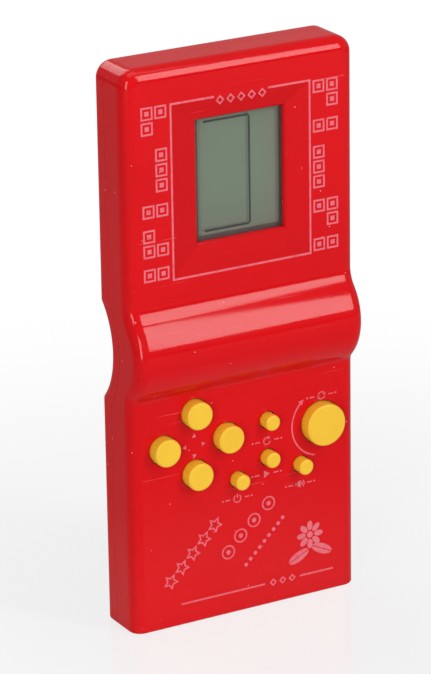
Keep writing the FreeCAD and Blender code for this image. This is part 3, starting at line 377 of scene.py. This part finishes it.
def stripedMaterial():
    # Conducting and insulating layers, one after another across the strip.
    look = stripedLook
    material, tree, shader = startMaterial("striped_rubber", {"Roughness": look["rough"]})
    wave = addNode(tree, "TexWave", {
        "Vector": objectPoint(tree), "Scale": 2 / (math.tau * look["pitch"] * mm),
        "Distortion": look["stray"], "Detail": 1}, bands_direction="X").outputs["Fac"]
    tree.links.new(blendColours(tree, wave, look["dark"], look["light"]), shader.inputs["Base Color"])
    addBump(tree, shader, wave, look["relief"], look["depth"])
    return material


boardLook = {"paper": (0.46, 0.30, 0.13), "deep": (0.37, 0.23, 0.10), "copper": (0.55, 0.43, 0.18),
             "fibres": 420.0, "trackPitch": 5.0, "trackStray": 0.35, "trackEdge": (0.1, 0.12),
             "trackShare": 0.58, "rough": 0.55, "trackPolish": -0.2, "relief": 0.4, "depth": 0.03}


def boardMaterial():
    # Brown paper laminate with tracks that wander between the pads.
    look = boardLook
    material, tree, shader = startMaterial("board", {})
    fibres = cloudy(tree, objectPoint(tree), look["fibres"], 0, 1, detail=5)
    paper = blendColours(tree, fibres, look["paper"], look["deep"])
    cells = addNode(tree, "TexVoronoi", {
        "Vector": objectPoint(tree, (1, 0, 1)), "Scale": 1 / (look["trackPitch"] * mm),
        "Randomness": look["trackStray"]}, feature="DISTANCE_TO_EDGE", voronoi_dimensions="3D")
    track = remap(tree, cells.outputs["Distance"], *look["trackEdge"])
    copper = maths(tree, "MULTIPLY", track, look["trackShare"])
    tree.links.new(blendColours(tree, copper, paper, look["copper"]), shader.inputs["Base Color"])
    polish = maths(tree, "MULTIPLY_ADD", track, look["trackPolish"], look["rough"])
    tree.links.new(polish, shader.inputs["Roughness"])
    addBump(tree, shader, track, look["relief"], look["depth"])
    return material


cellLook = {"jacket": (0.055, 0.070, 0.085), "band": (0.60, 0.44, 0.14), "steel": (0.62, 0.62, 0.63),
            "bandWide": 9.0, "bandShine": 0.8, "capRim": 1.15, "rim": 0.8,
            "wear": 120.0, "wearTone": (0.92, 1.06), "smears": 90.0, "rough": (0.25, 0.42),
            "wrinkles": 900.0, "relief": 0.15, "depth": 0.02}


def cellMaterial(name, capAtRight):
    # A dark shrunk jacket with one plain gold band at the cap's end and bare steel at both ends.
    look = cellLook
    low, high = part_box(name)
    material, tree, shader = startMaterial(name + "_jacket", {})
    split = addNode(tree, "SeparateXYZ", {"Vector": objectPoint(tree)})
    across = split.outputs["X"]
    capEnd = high.x if capAtRight else low.x
    baseEnd = low.x if capAtRight else high.x
    fromCap = maths(tree, "ABSOLUTE", maths(tree, "SUBTRACT", across, capEnd))
    fromBase = maths(tree, "ABSOLUTE", maths(tree, "SUBTRACT", across, baseEnd))
    bare = maths(tree, "MAXIMUM", maths(tree, "LESS_THAN", fromCap, look["capRim"] * mm),
                 maths(tree, "LESS_THAN", fromBase, look["rim"] * mm))
    banded = maths(tree, "LESS_THAN", fromCap, look["bandWide"] * mm)
    point = objectPoint(tree)
    colour = blendColours(tree, banded, look["jacket"], look["band"])
    colour = blendColours(tree, bare, colour, look["steel"])
    worn = cloudy(tree, point, look["wear"], *look["wearTone"])
    tree.links.new(scaleColour(tree, colour, worn), shader.inputs["Base Color"])
    shine = maths(tree, "MULTIPLY", banded, look["bandShine"])
    tree.links.new(maths(tree, "MAXIMUM", bare, shine), shader.inputs["Metallic"])
    addSmears(tree, shader, look, detail=5)
    addBump(tree, shader, cloudy(tree, point, look["wrinkles"], 0, 1), look["relief"], look["depth"])
    return material


capacitorLook = {"base": (0.030, 0.045, 0.14), "stripe": (0.55, 0.57, 0.60), "stripeHalf": 0.7,
                 "smears": 400.0, "rough": (0.2, 0.34)}


def capacitorMaterial():
    look = capacitorLook
    low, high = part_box("capacitor")
    middle = (low.x + high.x) / 2 / mm
    half = look["stripeHalf"]
    material, tree, shader = startMaterial("capacitor_sleeve", {})
    split = addNode(tree, "SeparateXYZ", {"Vector": objectPoint(tree)})
    stripe = maths(tree, "MULTIPLY", within(tree, split.outputs["X"], middle - half, middle + half),
                   maths(tree, "GREATER_THAN", split.outputs["Z"], (low.z + high.z) / 2))
    tree.links.new(blendColours(tree, stripe, look["base"], look["stripe"]), shader.inputs["Base Color"])
    addSmears(tree, shader, look)
    return material


# The rings' places are measured from the middle of the bodies.
resistorLook = {
    "base": (0.56, 0.42, 0.25), "deep": (0.45, 0.32, 0.18), "lead": (0.62, 0.62, 0.60),
    "rings": ((-1.7, (0.30, 0.06, 0.02)), (-0.8, (0.02, 0.02, 0.02)),
              (0.1, (0.45, 0.05, 0.03)), (1.6, (0.60, 0.45, 0.12))),
    "ringHalf": 0.22, "bodyHalf": 3.1, "cloud": 900.0, "deepShare": 0.4,
    "smears": 700.0, "rough": (0.25, 0.4),
}


def resistorMaterial():
    look = resistorLook
    low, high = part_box("resistors")
    middle = (low.x + high.x) / 2 / mm
    material, tree, shader = startMaterial("resistor_body", {})
    split = addNode(tree, "SeparateXYZ", {"Vector": objectPoint(tree)})
    across = split.outputs["X"]
    cloud = cloudy(tree, objectPoint(tree), look["cloud"], 0, look["deepShare"])
    colour = blendColours(tree, cloud, look["base"], look["deep"])
    for place, paint in look["rings"]:
        ring = within(tree, across, middle + place - look["ringHalf"], middle + place + look["ringHalf"])
        colour = blendColours(tree, ring, colour, paint)
    body = within(tree, across, middle - look["bodyHalf"], middle + look["bodyHalf"])
    colour = blendColours(tree, body, look["lead"], colour)
    tree.links.new(colour, shader.inputs["Base Color"])
    tree.links.new(maths(tree, "SUBTRACT", 1.0, body), shader.inputs["Metallic"])
    addSmears(tree, shader, look)
    return material


inkLook = {
    "panel": {"base": (0.720, 0.155, 0.195), "worn": (0.640, 0.060, 0.085), "rough": (0.34, 0.5),
              "specular": 0.3},
    "display": {"base": (0.008, 0.010, 0.009), "worn": (0.014, 0.018, 0.014), "rough": (0.4, 0.5),
                "specular": 0.05},
    "wear": 700.0, "wearSpan": (0.48, 0.72), "wearShare": 0.7, "smears": 300.0, "weave": 5000.0,
    "relief": 0.2, "depth": 0.008,
}


def inkMaterial(name, kind):
    # Screen-printed ink, a little thinner in places.
    look = {**inkLook, **inkLook[kind]}
    material, tree, shader = startMaterial(name, {"Specular IOR Level": look["specular"]})
    point = objectPoint(tree)
    thin = cloudy(tree, point, look["wear"], 0, look["wearShare"], detail=5, span=look["wearSpan"])
    tree.links.new(blendColours(tree, thin, look["base"], look["worn"]), shader.inputs["Base Color"])
    addSmears(tree, shader, look)
    addBump(tree, shader, cloudy(tree, point, look["weave"], 0, 1, detail=1), look["relief"], look["depth"])
    return material


nodeMaterials = {
    casingMaterial(): ["front_shell", "back_shell", "battery_cover"],
    buttonMaterial(): [name for name in cadNodes if name.startswith("button_")],
    clearMaterial(): ["window_plate"],
    displayGlassMaterial(): ["lcd_front_glass", "lcd_rear_glass"],
    displayFilmMaterial(): ["lcd_front_polariser"],
    stripedMaterial(): ["elastomer_strip"],
    boardMaterial(): ["main_board"],
    cellMaterial("battery_lower", False): ["battery_lower"],
    cellMaterial("battery_upper", True): ["battery_upper"],
    capacitorMaterial(): ["capacitor"],
    resistorMaterial(): ["resistors"],
    plainFinish("reflector_film"): ["lcd_rear_reflector"],
    plainFinish("black_foam"): ["screen_gasket"],
    plainFinish("holder_black"): ["lcd_holder"],
    plainFinish("silicone"): ["rubber_keypad"],
    plainFinish("carbon"): ["contact_pills", "carbon_pads"],
    plainFinish("black_epoxy"): ["chip_blob", "transistor"],
    plainFinish("screw_steel"): ["case_screws", "board_screws"],
    plainFinish("spring_steel"): ["positive_contact", "negative_contact", "bridge_contact",
                                  "negative_spring", "bridge_spring"],
    plainFinish("brass_disc"): ["buzzer_disc"],
    plainFinish("ceramic"): ["buzzer_ceramic"],
    plainFinish("lead_red"): ["battery_lead_positive", "buzzer_lead_ceramic"],
    plainFinish("lead_black"): ["battery_lead_negative", "buzzer_lead_disc"],
}
finished = set()
for material, names in nodeMaterials.items():
    for name in names:
        for materialSlot in cadNodes[name].material_slots:
            materialSlot.material = material
        finished.add(name)
panelInk = inkMaterial("panel_print", "panel")
displayInk = inkMaterial("display_print", "display")
print("CAD nodes with a material:", len(finished), "- left bare:", sorted(set(cadNodes) - finished))


# Printed marks: flat shapes laid on a face, each given its thickness at the end

# How far back the panel's and the display's faces lie, and how the ink lies on them.
printing = {"panel": -5.95, "display": -2.55, "proud": 0.03, "thick": 0.06,
            "roundCorners": 32, "arcCorners": 64}


def deselect():
    bpy.ops.object.select_all(action="DESELECT")


def takeUp(*pieces):
    # Selects these alone, and makes the first one active.
    deselect()
    for piece in pieces:
        piece.select_set(True)
    bpy.context.view_layer.objects.active = pieces[0]


def placeOn(x, z, face="panel"):
    return (x * mm, (printing[face] - printing["proud"]) * mm, z * mm)


def facing(turn=0):
    # Flat shapes look towards the front; the turn is anticlockwise as seen from there, in degrees.
    return (math.pi / 2, -math.radians(turn), 0)


def settle():
    bpy.ops.object.transform_apply(location=True, rotation=True, scale=True)
    return bpy.context.object


def addBar(x, z, wide, high, face="panel"):
    deselect()
    bpy.ops.mesh.primitive_plane_add(size=1, location=placeOn(x, z, face), rotation=facing())
    bpy.context.object.scale = (wide * mm, high * mm, 1)
    return settle()


def addDisc(x, z, radius, corners=printing["roundCorners"], turn=0, narrow=1.0):
    deselect()
    bpy.ops.mesh.primitive_circle_add(vertices=corners, radius=radius * mm, fill_type="NGON",
                                      location=placeOn(x, z), rotation=facing(turn))
    bpy.context.object.scale = (1, narrow, 1)
    return settle()


def editAll():
    bpy.ops.object.mode_set(mode="EDIT")
    bpy.ops.mesh.select_mode(type="FACE")
    bpy.ops.mesh.select_all(action="SELECT")


def endEdit():
    bpy.ops.object.mode_set(mode="OBJECT")
    return bpy.context.object


def leaveOutline(line):
    # Insets the flat face and takes its middle away.
    editAll()
    bpy.ops.mesh.inset(thickness=line * mm, depth=0)
    bpy.ops.mesh.delete(type="FACE")
    return endEdit()


def addRing(x, z, radius, line, corners=printing["roundCorners"]):
    addDisc(x, z, radius, corners)
    return leaveOutline(line)


def cutAway(x, z, direction):
    # Removes what lies on the side of the point that the direction, in degrees, looks to.
    angle = math.radians(direction)
    editAll()
    bpy.ops.mesh.bisect(plane_co=placeOn(x, z), plane_no=(math.cos(angle), 0, math.sin(angle)),
                        clear_outer=True)
    return endEdit()


def addArc(x, z, radius, line, start, end):
    # Part of a ring, anticlockwise from the start to the end, less than half a turn.
    addRing(x, z, radius, line, printing["arcCorners"])
    cutAway(x, z, start - 90)
    return cutAway(x, z, end + 90)


def onCircle(x, z, radius, angle):
    return x + radius * math.cos(math.radians(angle)), z + radius * math.sin(math.radians(angle))


def addArrowhead(x, z, size, heading):
    # A solid triangle whose tip looks along the heading; a circle of three points starts at the top.
    return addDisc(x, z, size, 3, heading - 90)


def pickCorners(chosen):
    # Selects the active shape's corners that the test picks, and stays in edit mode.
    bpy.ops.object.mode_set(mode="EDIT")
    bpy.ops.mesh.select_mode(type="VERT")
    bpy.ops.mesh.select_all(action="DESELECT")
    bpy.ops.object.mode_set(mode="OBJECT")
    for corner in bpy.context.object.data.vertices:
        corner.select = chosen(corner.co, corner.index)
    bpy.ops.object.mode_set(mode="EDIT")


def addStar(x, z, radius, notch, line, turn):
    # Five points: every second corner of a ring of ten goes inwards, to the notch's share of the radius.
    addDisc(x, z, radius, 10, turn)
    pickCorners(lambda place, number: number % 2 == 1)
    bpy.ops.transform.resize(value=(notch, notch, notch), center_override=placeOn(x, z))
    bpy.ops.object.mode_set(mode="OBJECT")
    return leaveOutline(line)


def copiesAt(pattern, places):
    # Copies of a finished shape, each with its own mesh, moved in the plane of the panel.
    made = []
    for x, z in places:
        takeUp(pattern)
        bpy.ops.object.duplicate()
        bpy.context.object.location = (x * mm, 0, z * mm)
        made.append(settle())
    bpy.data.objects.remove(pattern)
    return made


def finishMarks(name, shapes, material):
    # Joins the flat shapes, gives them the ink's thickness and puts them on the casing.
    takeUp(*shapes)
    bpy.ops.object.join()
    piece = settle()
    piece.name = name
    bpy.ops.object.modifier_add(type="SOLIDIFY")
    solidify = piece.modifiers[-1]
    solidify.thickness = printing["thick"] * mm
    solidify.offset = -1
    bpy.ops.object.modifier_apply(modifier=solidify.name)
    bpy.ops.object.origin_set(type="ORIGIN_CURSOR")
    piece.data.materials.clear()
    piece.data.materials.append(material)
    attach(piece, "case")
    print("printed", name, "with", len(piece.data.polygons), "faces")
    return piece


displayFrame = {"half": 23.7, "low": 112.1, "high": 166.3, "line": 0.6, "gapLeft": -9.0, "gapRight": 9.4,
                "motifs": 5, "motifPitch": 3.6, "motifRadius": 1.45, "motifLine": 0.42, "motifHeight": 165.1,
                "motifCorners": 4}


def displayFrameMarks():
    # A thin frame with a gap in its upper side, where a row of small diamonds stands.
    look = displayFrame
    addBar(0, (look["low"] + look["high"]) / 2, 2 * look["half"] + look["line"],
           look["high"] - look["low"] + look["line"])
    outline = leaveOutline(look["line"])
    editAll()
    for side in (look["gapLeft"], look["gapRight"]):
        bpy.ops.mesh.select_all(action="SELECT")
        bpy.ops.mesh.bisect(plane_co=placeOn(side, 0), plane_no=(1, 0, 0))
    bpy.ops.mesh.select_all(action="DESELECT")
    bpy.ops.object.mode_set(mode="OBJECT")
    for face in outline.data.polygons:
        x, z = face.center.x / mm, face.center.z / mm
        face.select = look["gapLeft"] < x < look["gapRight"] and z > look["high"] - look["line"]
    bpy.ops.object.mode_set(mode="EDIT")
    bpy.ops.mesh.delete(type="FACE")
    endEdit()
    middle = (look["gapLeft"] + look["gapRight"]) / 2
    motifs = [addRing(middle + (step - (look["motifs"] - 1) / 2) * look["motifPitch"], look["motifHeight"],
                      look["motifRadius"], look["motifLine"], look["motifCorners"])
              for step in range(look["motifs"])]
    return finishMarks("display_frame_marks", [outline, *motifs], panelInk)


tileMarks = {
    "size": 4.0, "line": 0.55, "core": 1.4, "pitch": 4.66,
    "left": (-31.7, -27.1), "right": (31.5, 26.8),
    "leftRows": ((164.6, "both"), (159.94, "outer"), (151.5, "inner"), (146.84, "inner"), (142.18, "inner"),
                 (134.5, "both"), (126.9, "outer"), (122.24, "both"), (114.8, "both")),
    "rightRows": ((164.1, "both"), (159.44, "outer"), (151.8, "both"), (143.6, "inner"), (138.94, "inner"),
                  (134.28, "inner"), (126.6, "both"), (121.94, "outer"), (114.4, "both")),
}


def tileColumnMarks():
    look = tileMarks
    addBar(0, 0, look["size"], look["size"])
    rim = leaveOutline(look["line"])
    core = addBar(0, 0, look["core"], look["core"])
    takeUp(rim, core)
    bpy.ops.object.join()
    places = []
    for side in ("left", "right"):
        outer, inner = look[side]
        for height, which in look[side + "Rows"]:
            if which != "inner":
                places.append((outer, height))
            if which != "outer":
                places.append((inner, height))
    return finishMarks("tile_column_marks", copiesAt(bpy.context.object, places), panelInk)


# Angles are in degrees, anticlockwise from the right.
controlMarks = {
    "arrows": ((-17.75, 61.2, 90), (-14.7, 58.1, 0), (-21.0, 58.05, 180), (-17.8, 54.85, 270)),
    "arrowSize": 0.85,
    "icons": {"rotate": (27.2, 65.4), "reset": (7.7, 54.4), "start": (7.4, 43.6), "sound": (19.35, 37.8),
              "power": (-3.0, 37.7)},
    "line": 0.36, "dash": 1.7, "dashAt": 3.4, "dotAt": 5.1, "dot": 0.3, "dotCorners": 12,
    "turns": (
        {"x": 27.3, "z": 56.7, "radius": 10.7, "line": 0.45, "start": 133, "end": 256, "head": 1.1},
        {"x": 27.2, "z": 65.4, "radius": 1.15, "line": 0.36, "start": 20, "end": 160, "head": 0.62},
        {"x": 27.2, "z": 65.4, "radius": 1.15, "line": 0.36, "start": 200, "end": 340, "head": 0.62},
        {"x": 7.7, "z": 54.4, "radius": 1.15, "line": 0.36, "start": 60, "end": 350, "head": 0.68},
    ),
    "playSize": 1.35, "playAside": 0.2,
    "boxAt": 1.3, "boxWide": 0.7, "boxHigh": 0.9, "coneAt": 0.55, "cone": 1.45,
    "waves": (0.95, 1.6), "waveHalf": 42, "waveShare": 0.8,
    "power": 1.4, "powerSpans": ((125, 270), (270, 415)), "barAt": 0.85, "barHigh": 1.3,
}


def flankedBy(x, z):
    # The short dash and dot at each side of an icon.
    look = controlMarks
    shapes = []
    for side in (-1, 1):
        shapes.append(addBar(x + side * look["dashAt"], z, look["dash"], look["line"]))
        shapes.append(addDisc(x + side * look["dotAt"], z, look["dot"], look["dotCorners"]))
    return shapes


def turningArrow(x, z, radius, line, start, end, head):
    # An arc with its arrowhead at the start, so that it points clockwise past it.
    middle = (start + end) / 2
    outer = radius + line / 2
    shapes = [addArc(x, z, outer, line, start, middle), addArc(x, z, outer, line, middle, end)]
    tipX, tipZ = onCircle(x, z, radius, start)
    shapes.append(addArrowhead(tipX, tipZ, head, start - 90))
    return shapes


def controlIcons():
    # Four small arrows between the direction buttons, and an icon beside each of the others.
    look = controlMarks
    line = look["line"]
    shapes = [addArrowhead(x, z, look["arrowSize"], heading) for x, z, heading in look["arrows"]]
    for turn in look["turns"]:
        shapes += turningArrow(**turn)
    for x, z in look["icons"].values():
        shapes += flankedBy(x, z)
    x, z = look["icons"]["start"]
    shapes.append(addArrowhead(x - look["playAside"], z, look["playSize"], 0))
    x, z = look["icons"]["sound"]
    shapes.append(addBar(x - look["boxAt"], z, look["boxWide"], look["boxHigh"]))
    addDisc(x - look["coneAt"], z, look["cone"], 3, 90)
    shapes.append(cutAway(x - look["boxAt"], z, 180))
    for radius in look["waves"]:
        shapes.append(addArc(x, z, radius, line * look["waveShare"], -look["waveHalf"], look["waveHalf"]))
    x, z = look["icons"]["power"]
    for start, end in look["powerSpans"]:
        shapes.append(addArc(x, z, look["power"], line, start, end))
    shapes.append(addBar(x, z + look["barAt"], line, look["barHigh"]))
    return finishMarks("control_icon_marks", shapes, panelInk)


ornamentMarks = {
    "stars": {"from": (-26.7, 15.3), "to": (-11.0, 30.7), "count": 5, "radius": 2.75, "notch": 0.5,
              "line": 0.42},
    "rings": {"places": ((-6.4, 20.6), (-2.0, 25.2), (2.8, 29.3), (8.0, 33.8)), "radius": 2.3, "line": 0.42,
              "dot": 0.75},
    "dots": {"from": (-0.2, 15.1), "to": (13.0, 28.0), "count": 9, "radius": 0.62, "diamond": 0.775},
    "dotCorners": 16, "slant": 44.5,
}


def alongLine(look):
    (startX, startZ), (endX, endZ) = look["from"], look["to"]
    last = look["count"] - 1
    return [(startX + (endX - startX) * step / last, startZ + (endZ - startZ) * step / last)
            for step in range(look["count"])]


def ornamentRows():
    # Three slanting rows: stars, rings round a dot, and dots and small diamonds by turns.
    look = ornamentMarks
    stars, rings, dots = look["stars"], look["rings"], look["dots"]
    shapes = [addStar(x, z, stars["radius"], stars["notch"], stars["line"], look["slant"])
              for x, z in alongLine(stars)]
    for x, z in rings["places"]:
        shapes.append(addRing(x, z, rings["radius"], rings["line"]))
        shapes.append(addDisc(x, z, rings["dot"], look["dotCorners"]))
    for step, (x, z) in enumerate(alongLine(dots)):
        if step % 2:
            shapes.append(addDisc(x, z, dots["diamond"], 4, look["slant"] - 45))
        else:
            shapes.append(addDisc(x, z, dots["radius"], look["dotCorners"], look["slant"] - 45))
    return finishMarks("ornament_row_marks", shapes, panelInk)


flowerMarks = {
    "x": 22.75, "z": 20.1, "petals": 8, "petalAt": 3.05, "petalLong": 1.6, "petalWide": 0.95, "eye": 1.05,
    "petalCorners": 20,
    "leaves": ((18.7, 13.6, 205), (27.0, 14.6, 335)), "leafHalf": 3.9, "leafShare": 0.42, "rib": 0.16,
    "leafCorners": 28,
    "lineHeight": 7.05, "line": 0.5, "lines": ((-23.2, 6.4), (19.0, 31.0)), "middle": 12.8,
    "motifPitch": 3.4, "motifRadius": 1.25, "motifLine": 0.4, "motifCorners": 4,
}


def flowerAndFootMarks():
    # Each leaf is two halves with its rib left free between them.
    look = flowerMarks
    x, z = look["x"], look["z"]
    shapes = [addDisc(x, z, look["eye"], look["petalCorners"])]
    narrow = look["petalWide"] / look["petalLong"]
    for step in range(look["petals"]):
        angle = 360 / look["petals"] * step
        petalX, petalZ = onCircle(x, z, look["petalAt"], angle)
        shapes.append(addDisc(petalX, petalZ, look["petalLong"], look["petalCorners"], angle, narrow))
    for leafX, leafZ, angle in look["leaves"]:
        for side in (90, -90):
            addDisc(leafX, leafZ, look["leafHalf"], look["leafCorners"], angle, look["leafShare"])
            ribX, ribZ = onCircle(leafX, leafZ, look["rib"], angle - side)
            shapes.append(cutAway(ribX, ribZ, angle + side))
    for left, right in look["lines"]:
        shapes.append(addBar((left + right) / 2, look["lineHeight"], right - left, look["line"]))
    for step in (-1, 0, 1):
        shapes.append(addRing(look["middle"] + step * look["motifPitch"], look["lineHeight"],
                              look["motifRadius"], look["motifLine"], look["motifCorners"]))
    return finishMarks("flower_and_foot_marks", shapes, panelInk)


displayLine = {"line": 0.68, "corner": 1.2, "spare": 4.0, "cornerSteps": 6}


def displayLineMark():
    # The line round the play field, with round corners at the right. What is spare at the left is cut away,
    # so that it is open there.
    look = displayLine
    left, right = displayLook["lineLeft"], displayLook["lineRight"]
    low, high = displayLook["lineLow"], displayLook["lineHigh"]
    wide = right - left + look["spare"]
    addBar(right - wide / 2, (low + high) / 2, wide, high - low, face="display")
    pickCorners(lambda place, number: place.x > (right - wide / 2) * mm)
    bpy.ops.mesh.bevel(offset=look["corner"] * mm, segments=look["cornerSteps"], affect="VERTICES")
    bpy.ops.object.mode_set(mode="OBJECT")
    leaveOutline(look["line"])
    return finishMarks("display_line_mark", [cutAway(left, low, 180)], displayInk)


bpy.context.scene.cursor.location = (0, 0, 0)
displayFrameMarks()
tileColumnMarks()
controlIcons()
ornamentRows()
flowerAndFootMarks()
displayLineMark()


# The keypad's domes and pills, parted from their sheet so that each pressed button flattens its own

# The radius of each dome's foot. Back is where the domes end, and keep is what a press leaves of their
# height.
pressedPads = {
    "feet": {"up": 4.42, "down": 4.42, "left": 4.42, "right": 4.42, "rotate": 5.62,
             "reset": 3.52, "start": 3.52, "sound": 3.52, "power": 3.52},
    "back": 1.65, "keep": 0.735, "merge": 0.001, "spare": 0.05,
}


def meshCopy(node):
    # The node's mesh in a new object, with its triangles joined up.
    piece = bpy.data.objects.new(node + "_copy", cadNodes[node].data.copy())
    bpy.context.scene.collection.objects.link(piece)
    takeUp(piece)
    editAll()
    bpy.ops.mesh.remove_doubles(threshold=pressedPads["merge"] * mm)
    endEdit()
    return piece


def closeRim(piece):
    # Joins the two open rims that a parting leaves, and turns all faces outwards.
    takeUp(piece)
    bpy.ops.object.mode_set(mode="EDIT")
    bpy.ops.mesh.select_mode(type="EDGE")
    bpy.ops.mesh.select_all(action="DESELECT")
    bpy.ops.mesh.select_non_manifold(use_wire=False, use_multi_face=False, use_non_contiguous=False,
                                     use_verts=False)
    bpy.ops.mesh.bridge_edge_loops()
    bpy.ops.mesh.select_all(action="SELECT")
    bpy.ops.mesh.normals_make_consistent(inside=False)
    endEdit()


def buttonAxis(button):
    low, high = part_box("button_" + button)
    return (low.x + high.x) / 2, (low.z + high.z) / 2


def fromAxis(place, axis):
    x, z = axis
    return math.hypot(place.x - x, place.z - z)


def partDome(sheet, button):
    # The faces inside the dome's foot become a piece of their own.
    axis = buttonAxis(button)
    reach = (pressedPads["feet"][button] + pressedPads["spare"]) * mm
    takeUp(sheet)
    pickCorners(lambda place, number: fromAxis(place, axis) < reach)
    bpy.ops.mesh.separate(type="SELECTED")
    bpy.ops.object.mode_set(mode="OBJECT")
    dome = [piece for piece in bpy.context.selected_objects if piece != sheet][0]
    closeRim(sheet)
    closeRim(dome)
    return dome


def flattenWith(piece, name, button, node):
    piece.name = name + "_" + button
    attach(piece, "case")
    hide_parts(node)
    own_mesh(piece)


def keypadPieces():
    sheet = meshCopy("rubber_keypad")
    for button in pressedPads["feet"]:
        flattenWith(partDome(sheet, button), "keypad_dome", button, "rubber_keypad")
    sheet.name = "keypad_sheet"
    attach(sheet, "case")
    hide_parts("rubber_keypad")
    meshCopy("contact_pills")
    bpy.ops.mesh.separate(type="LOOSE")
    for pill in list(bpy.context.selected_objects):
        corner = pill.data.vertices[0].co
        nearest = min(pressedPads["feet"], key=lambda button: fromAxis(corner, buttonAxis(button)))
        flattenWith(pill, "contact_pill", nearest, "contact_pills")
    print("keypad parted into its sheet and", len(pressedPads["feet"]), "domes, each with its pill")


keypadPieces()


# Studio: a pale floor, soft lamps and the camera

floorLook = {"size": 12.0, "colour": (0.70, 0.70, 0.70), "mirrored": (0.38, 0.38, 0.38),
             "rough": 0.06, "dull": 0.7, "specular": 1.0, "bend": 2.4,
             "polishNear": 0.05, "polishFar": 0.12, "white": 1.0,
             "glowNear": 0.76, "glowFar": 1.0, "near": 0.08, "far": 0.30, "inGloss": 0.05}


def seenByEye(tree, inGloss):
    # One for what the camera sees, straight or through glass, and less for what gloss mirrors.
    path = addNode(tree, "LightPath")
    straight = maths(tree, "MAXIMUM", path.outputs["Is Camera Ray"], path.outputs["Is Transmission Ray"])
    return maths(tree, "MAXIMUM", straight, maths(tree, "MULTIPLY", path.outputs["Is Glossy Ray"], inGloss))


def studioFloor():
    look = floorLook
    deselect()
    bpy.ops.mesh.primitive_plane_add(size=look["size"], location=(0, 0, 0))
    floor = bpy.context.object
    floor.name = "studio_floor"
    material, tree, shader = startMaterial("studio_floor", {"IOR": look["bend"]})
    distance = addNode(tree, "VectorMath", {0: objectPoint(tree)}, operation="LENGTH").outputs["Value"]
    glow = remap(tree, distance, look["near"], look["far"], look["glowNear"], look["glowFar"],
                 interpolation_type="SMOOTHSTEP")
    share = maths(tree, "MULTIPLY", seenByEye(tree, look["inGloss"]), glow)
    white = addNode(tree, "Emission", {"Color": (1, 1, 1, 1), "Strength": look["white"]})
    # The floor's polish fades away from the object, and what the casing mirrors of it is dull and darker.
    away = remap(tree, distance, look["polishNear"], look["polishFar"])
    mirrored = addNode(tree, "LightPath").outputs["Is Glossy Ray"]
    colour = blendColours(tree, mirrored, look["colour"], look["mirrored"])
    tree.links.new(colour, shader.inputs["Base Color"])
    worn = maths(tree, "MAXIMUM", away, mirrored)
    polish = remap(tree, worn, 0.0, 1.0, look["rough"], look["dull"])
    tree.links.new(polish, shader.inputs["Roughness"])
    gloss = remap(tree, away, 0.0, 1.0, look["specular"], 0.0)
    tree.links.new(gloss, shader.inputs["Specular IOR Level"])
    both = addNode(tree, "MixShader", {0: share, 1: shader.outputs["BSDF"], 2: white.outputs["Emission"]})
    tree.links.new(both.outputs["Shader"], tree.nodes["Material Output"].inputs["Surface"])
    floor.data.materials.append(material)


lampLook = {
    "front_right": {"azimuth": 30.6, "elevation": 28.9, "away": 0.9, "wide": 0.215, "high": 0.67,
                    "power": 4.3},
    "left_strip": {"azimuth": -46, "elevation": 13, "away": 0.9, "wide": 0.22, "high": 0.66, "power": 4.3},
    "overhead": {"azimuth": 10, "elevation": 80, "away": 1.2, "wide": 1.0, "high": 0.8, "power": 4.4},
    "rear": {"azimuth": -170, "elevation": 45, "away": 1.0, "wide": 0.6, "high": 0.6, "power": 3.5},
}
lampTarget = Vector((0, 0, 0.09))


def towards(azimuth, elevation):
    # A direction from the object: azimuth 0 is the front, positive to the right.
    turn, rise = math.radians(azimuth), math.radians(elevation)
    return Vector((math.sin(turn) * math.cos(rise), -math.cos(turn) * math.cos(rise), math.sin(rise)))


def softLamps():
    for name, look in lampLook.items():
        direction = towards(look["azimuth"], look["elevation"])
        bpy.ops.object.light_add(type="AREA", location=lampTarget + direction * look["away"])
        lamp = bpy.context.object
        lamp.name = name
        lamp.rotation_euler = direction.to_track_quat("Z", "Y").to_euler()
        lamp.data.shape = "RECTANGLE"
        lamp.data.size = look["wide"]
        lamp.data.size_y = look["high"]
        lamp.data.energy = look["power"]


worldLook = {"colour": (1.0, 1.0, 1.0), "onObject": 0.12, "seen": 1.0, "inGloss": 0.3}


def studioWorld():
    look = worldLook
    world = bpy.data.worlds.new("studio")
    world.use_nodes = True
    tree = world.node_tree
    background = tree.nodes["Background"]
    background.inputs["Color"].default_value = (*look["colour"], 1)
    strength = remap(tree, seenByEye(tree, look["inGloss"]), 0.0, 1.0, look["onObject"], look["seen"])
    tree.links.new(strength, background.inputs["Strength"])
    bpy.context.scene.world = world


# The photograph's own view: the camera's place, and which way its right side and its top look.
cameraLook = {
    "place": (-0.54069, -0.94861, 0.47960),
    "right": (0.86858, -0.49532, -0.01490), "up": (0.17948, 0.28642, 0.94114),
    "lens": 204.4, "sensor": 36.0, "clipStart": 0.01, "clipEnd": 100.0,
}


def photoCamera():
    look = cameraLook
    right = Vector(look["right"]).normalized()
    back = right.cross(Vector(look["up"])).normalized()
    up = back.cross(right)
    bpy.ops.object.camera_add()
    camera = bpy.context.object
    camera.name = "photo_camera"
    turn = Matrix((right, up, back)).transposed().to_4x4()
    camera.matrix_world = Matrix.Translation(look["place"]) @ turn
    camera.data.lens = look["lens"]
    camera.data.sensor_width = look["sensor"]
    camera.data.clip_start = look["clipStart"]
    camera.data.clip_end = look["clipEnd"]
    bpy.context.scene.camera = camera


studioFloor()
softLamps()
studioWorld()
photoCamera()
bpy.context.scene.view_settings.view_transform = "Standard"
print("studio ready")
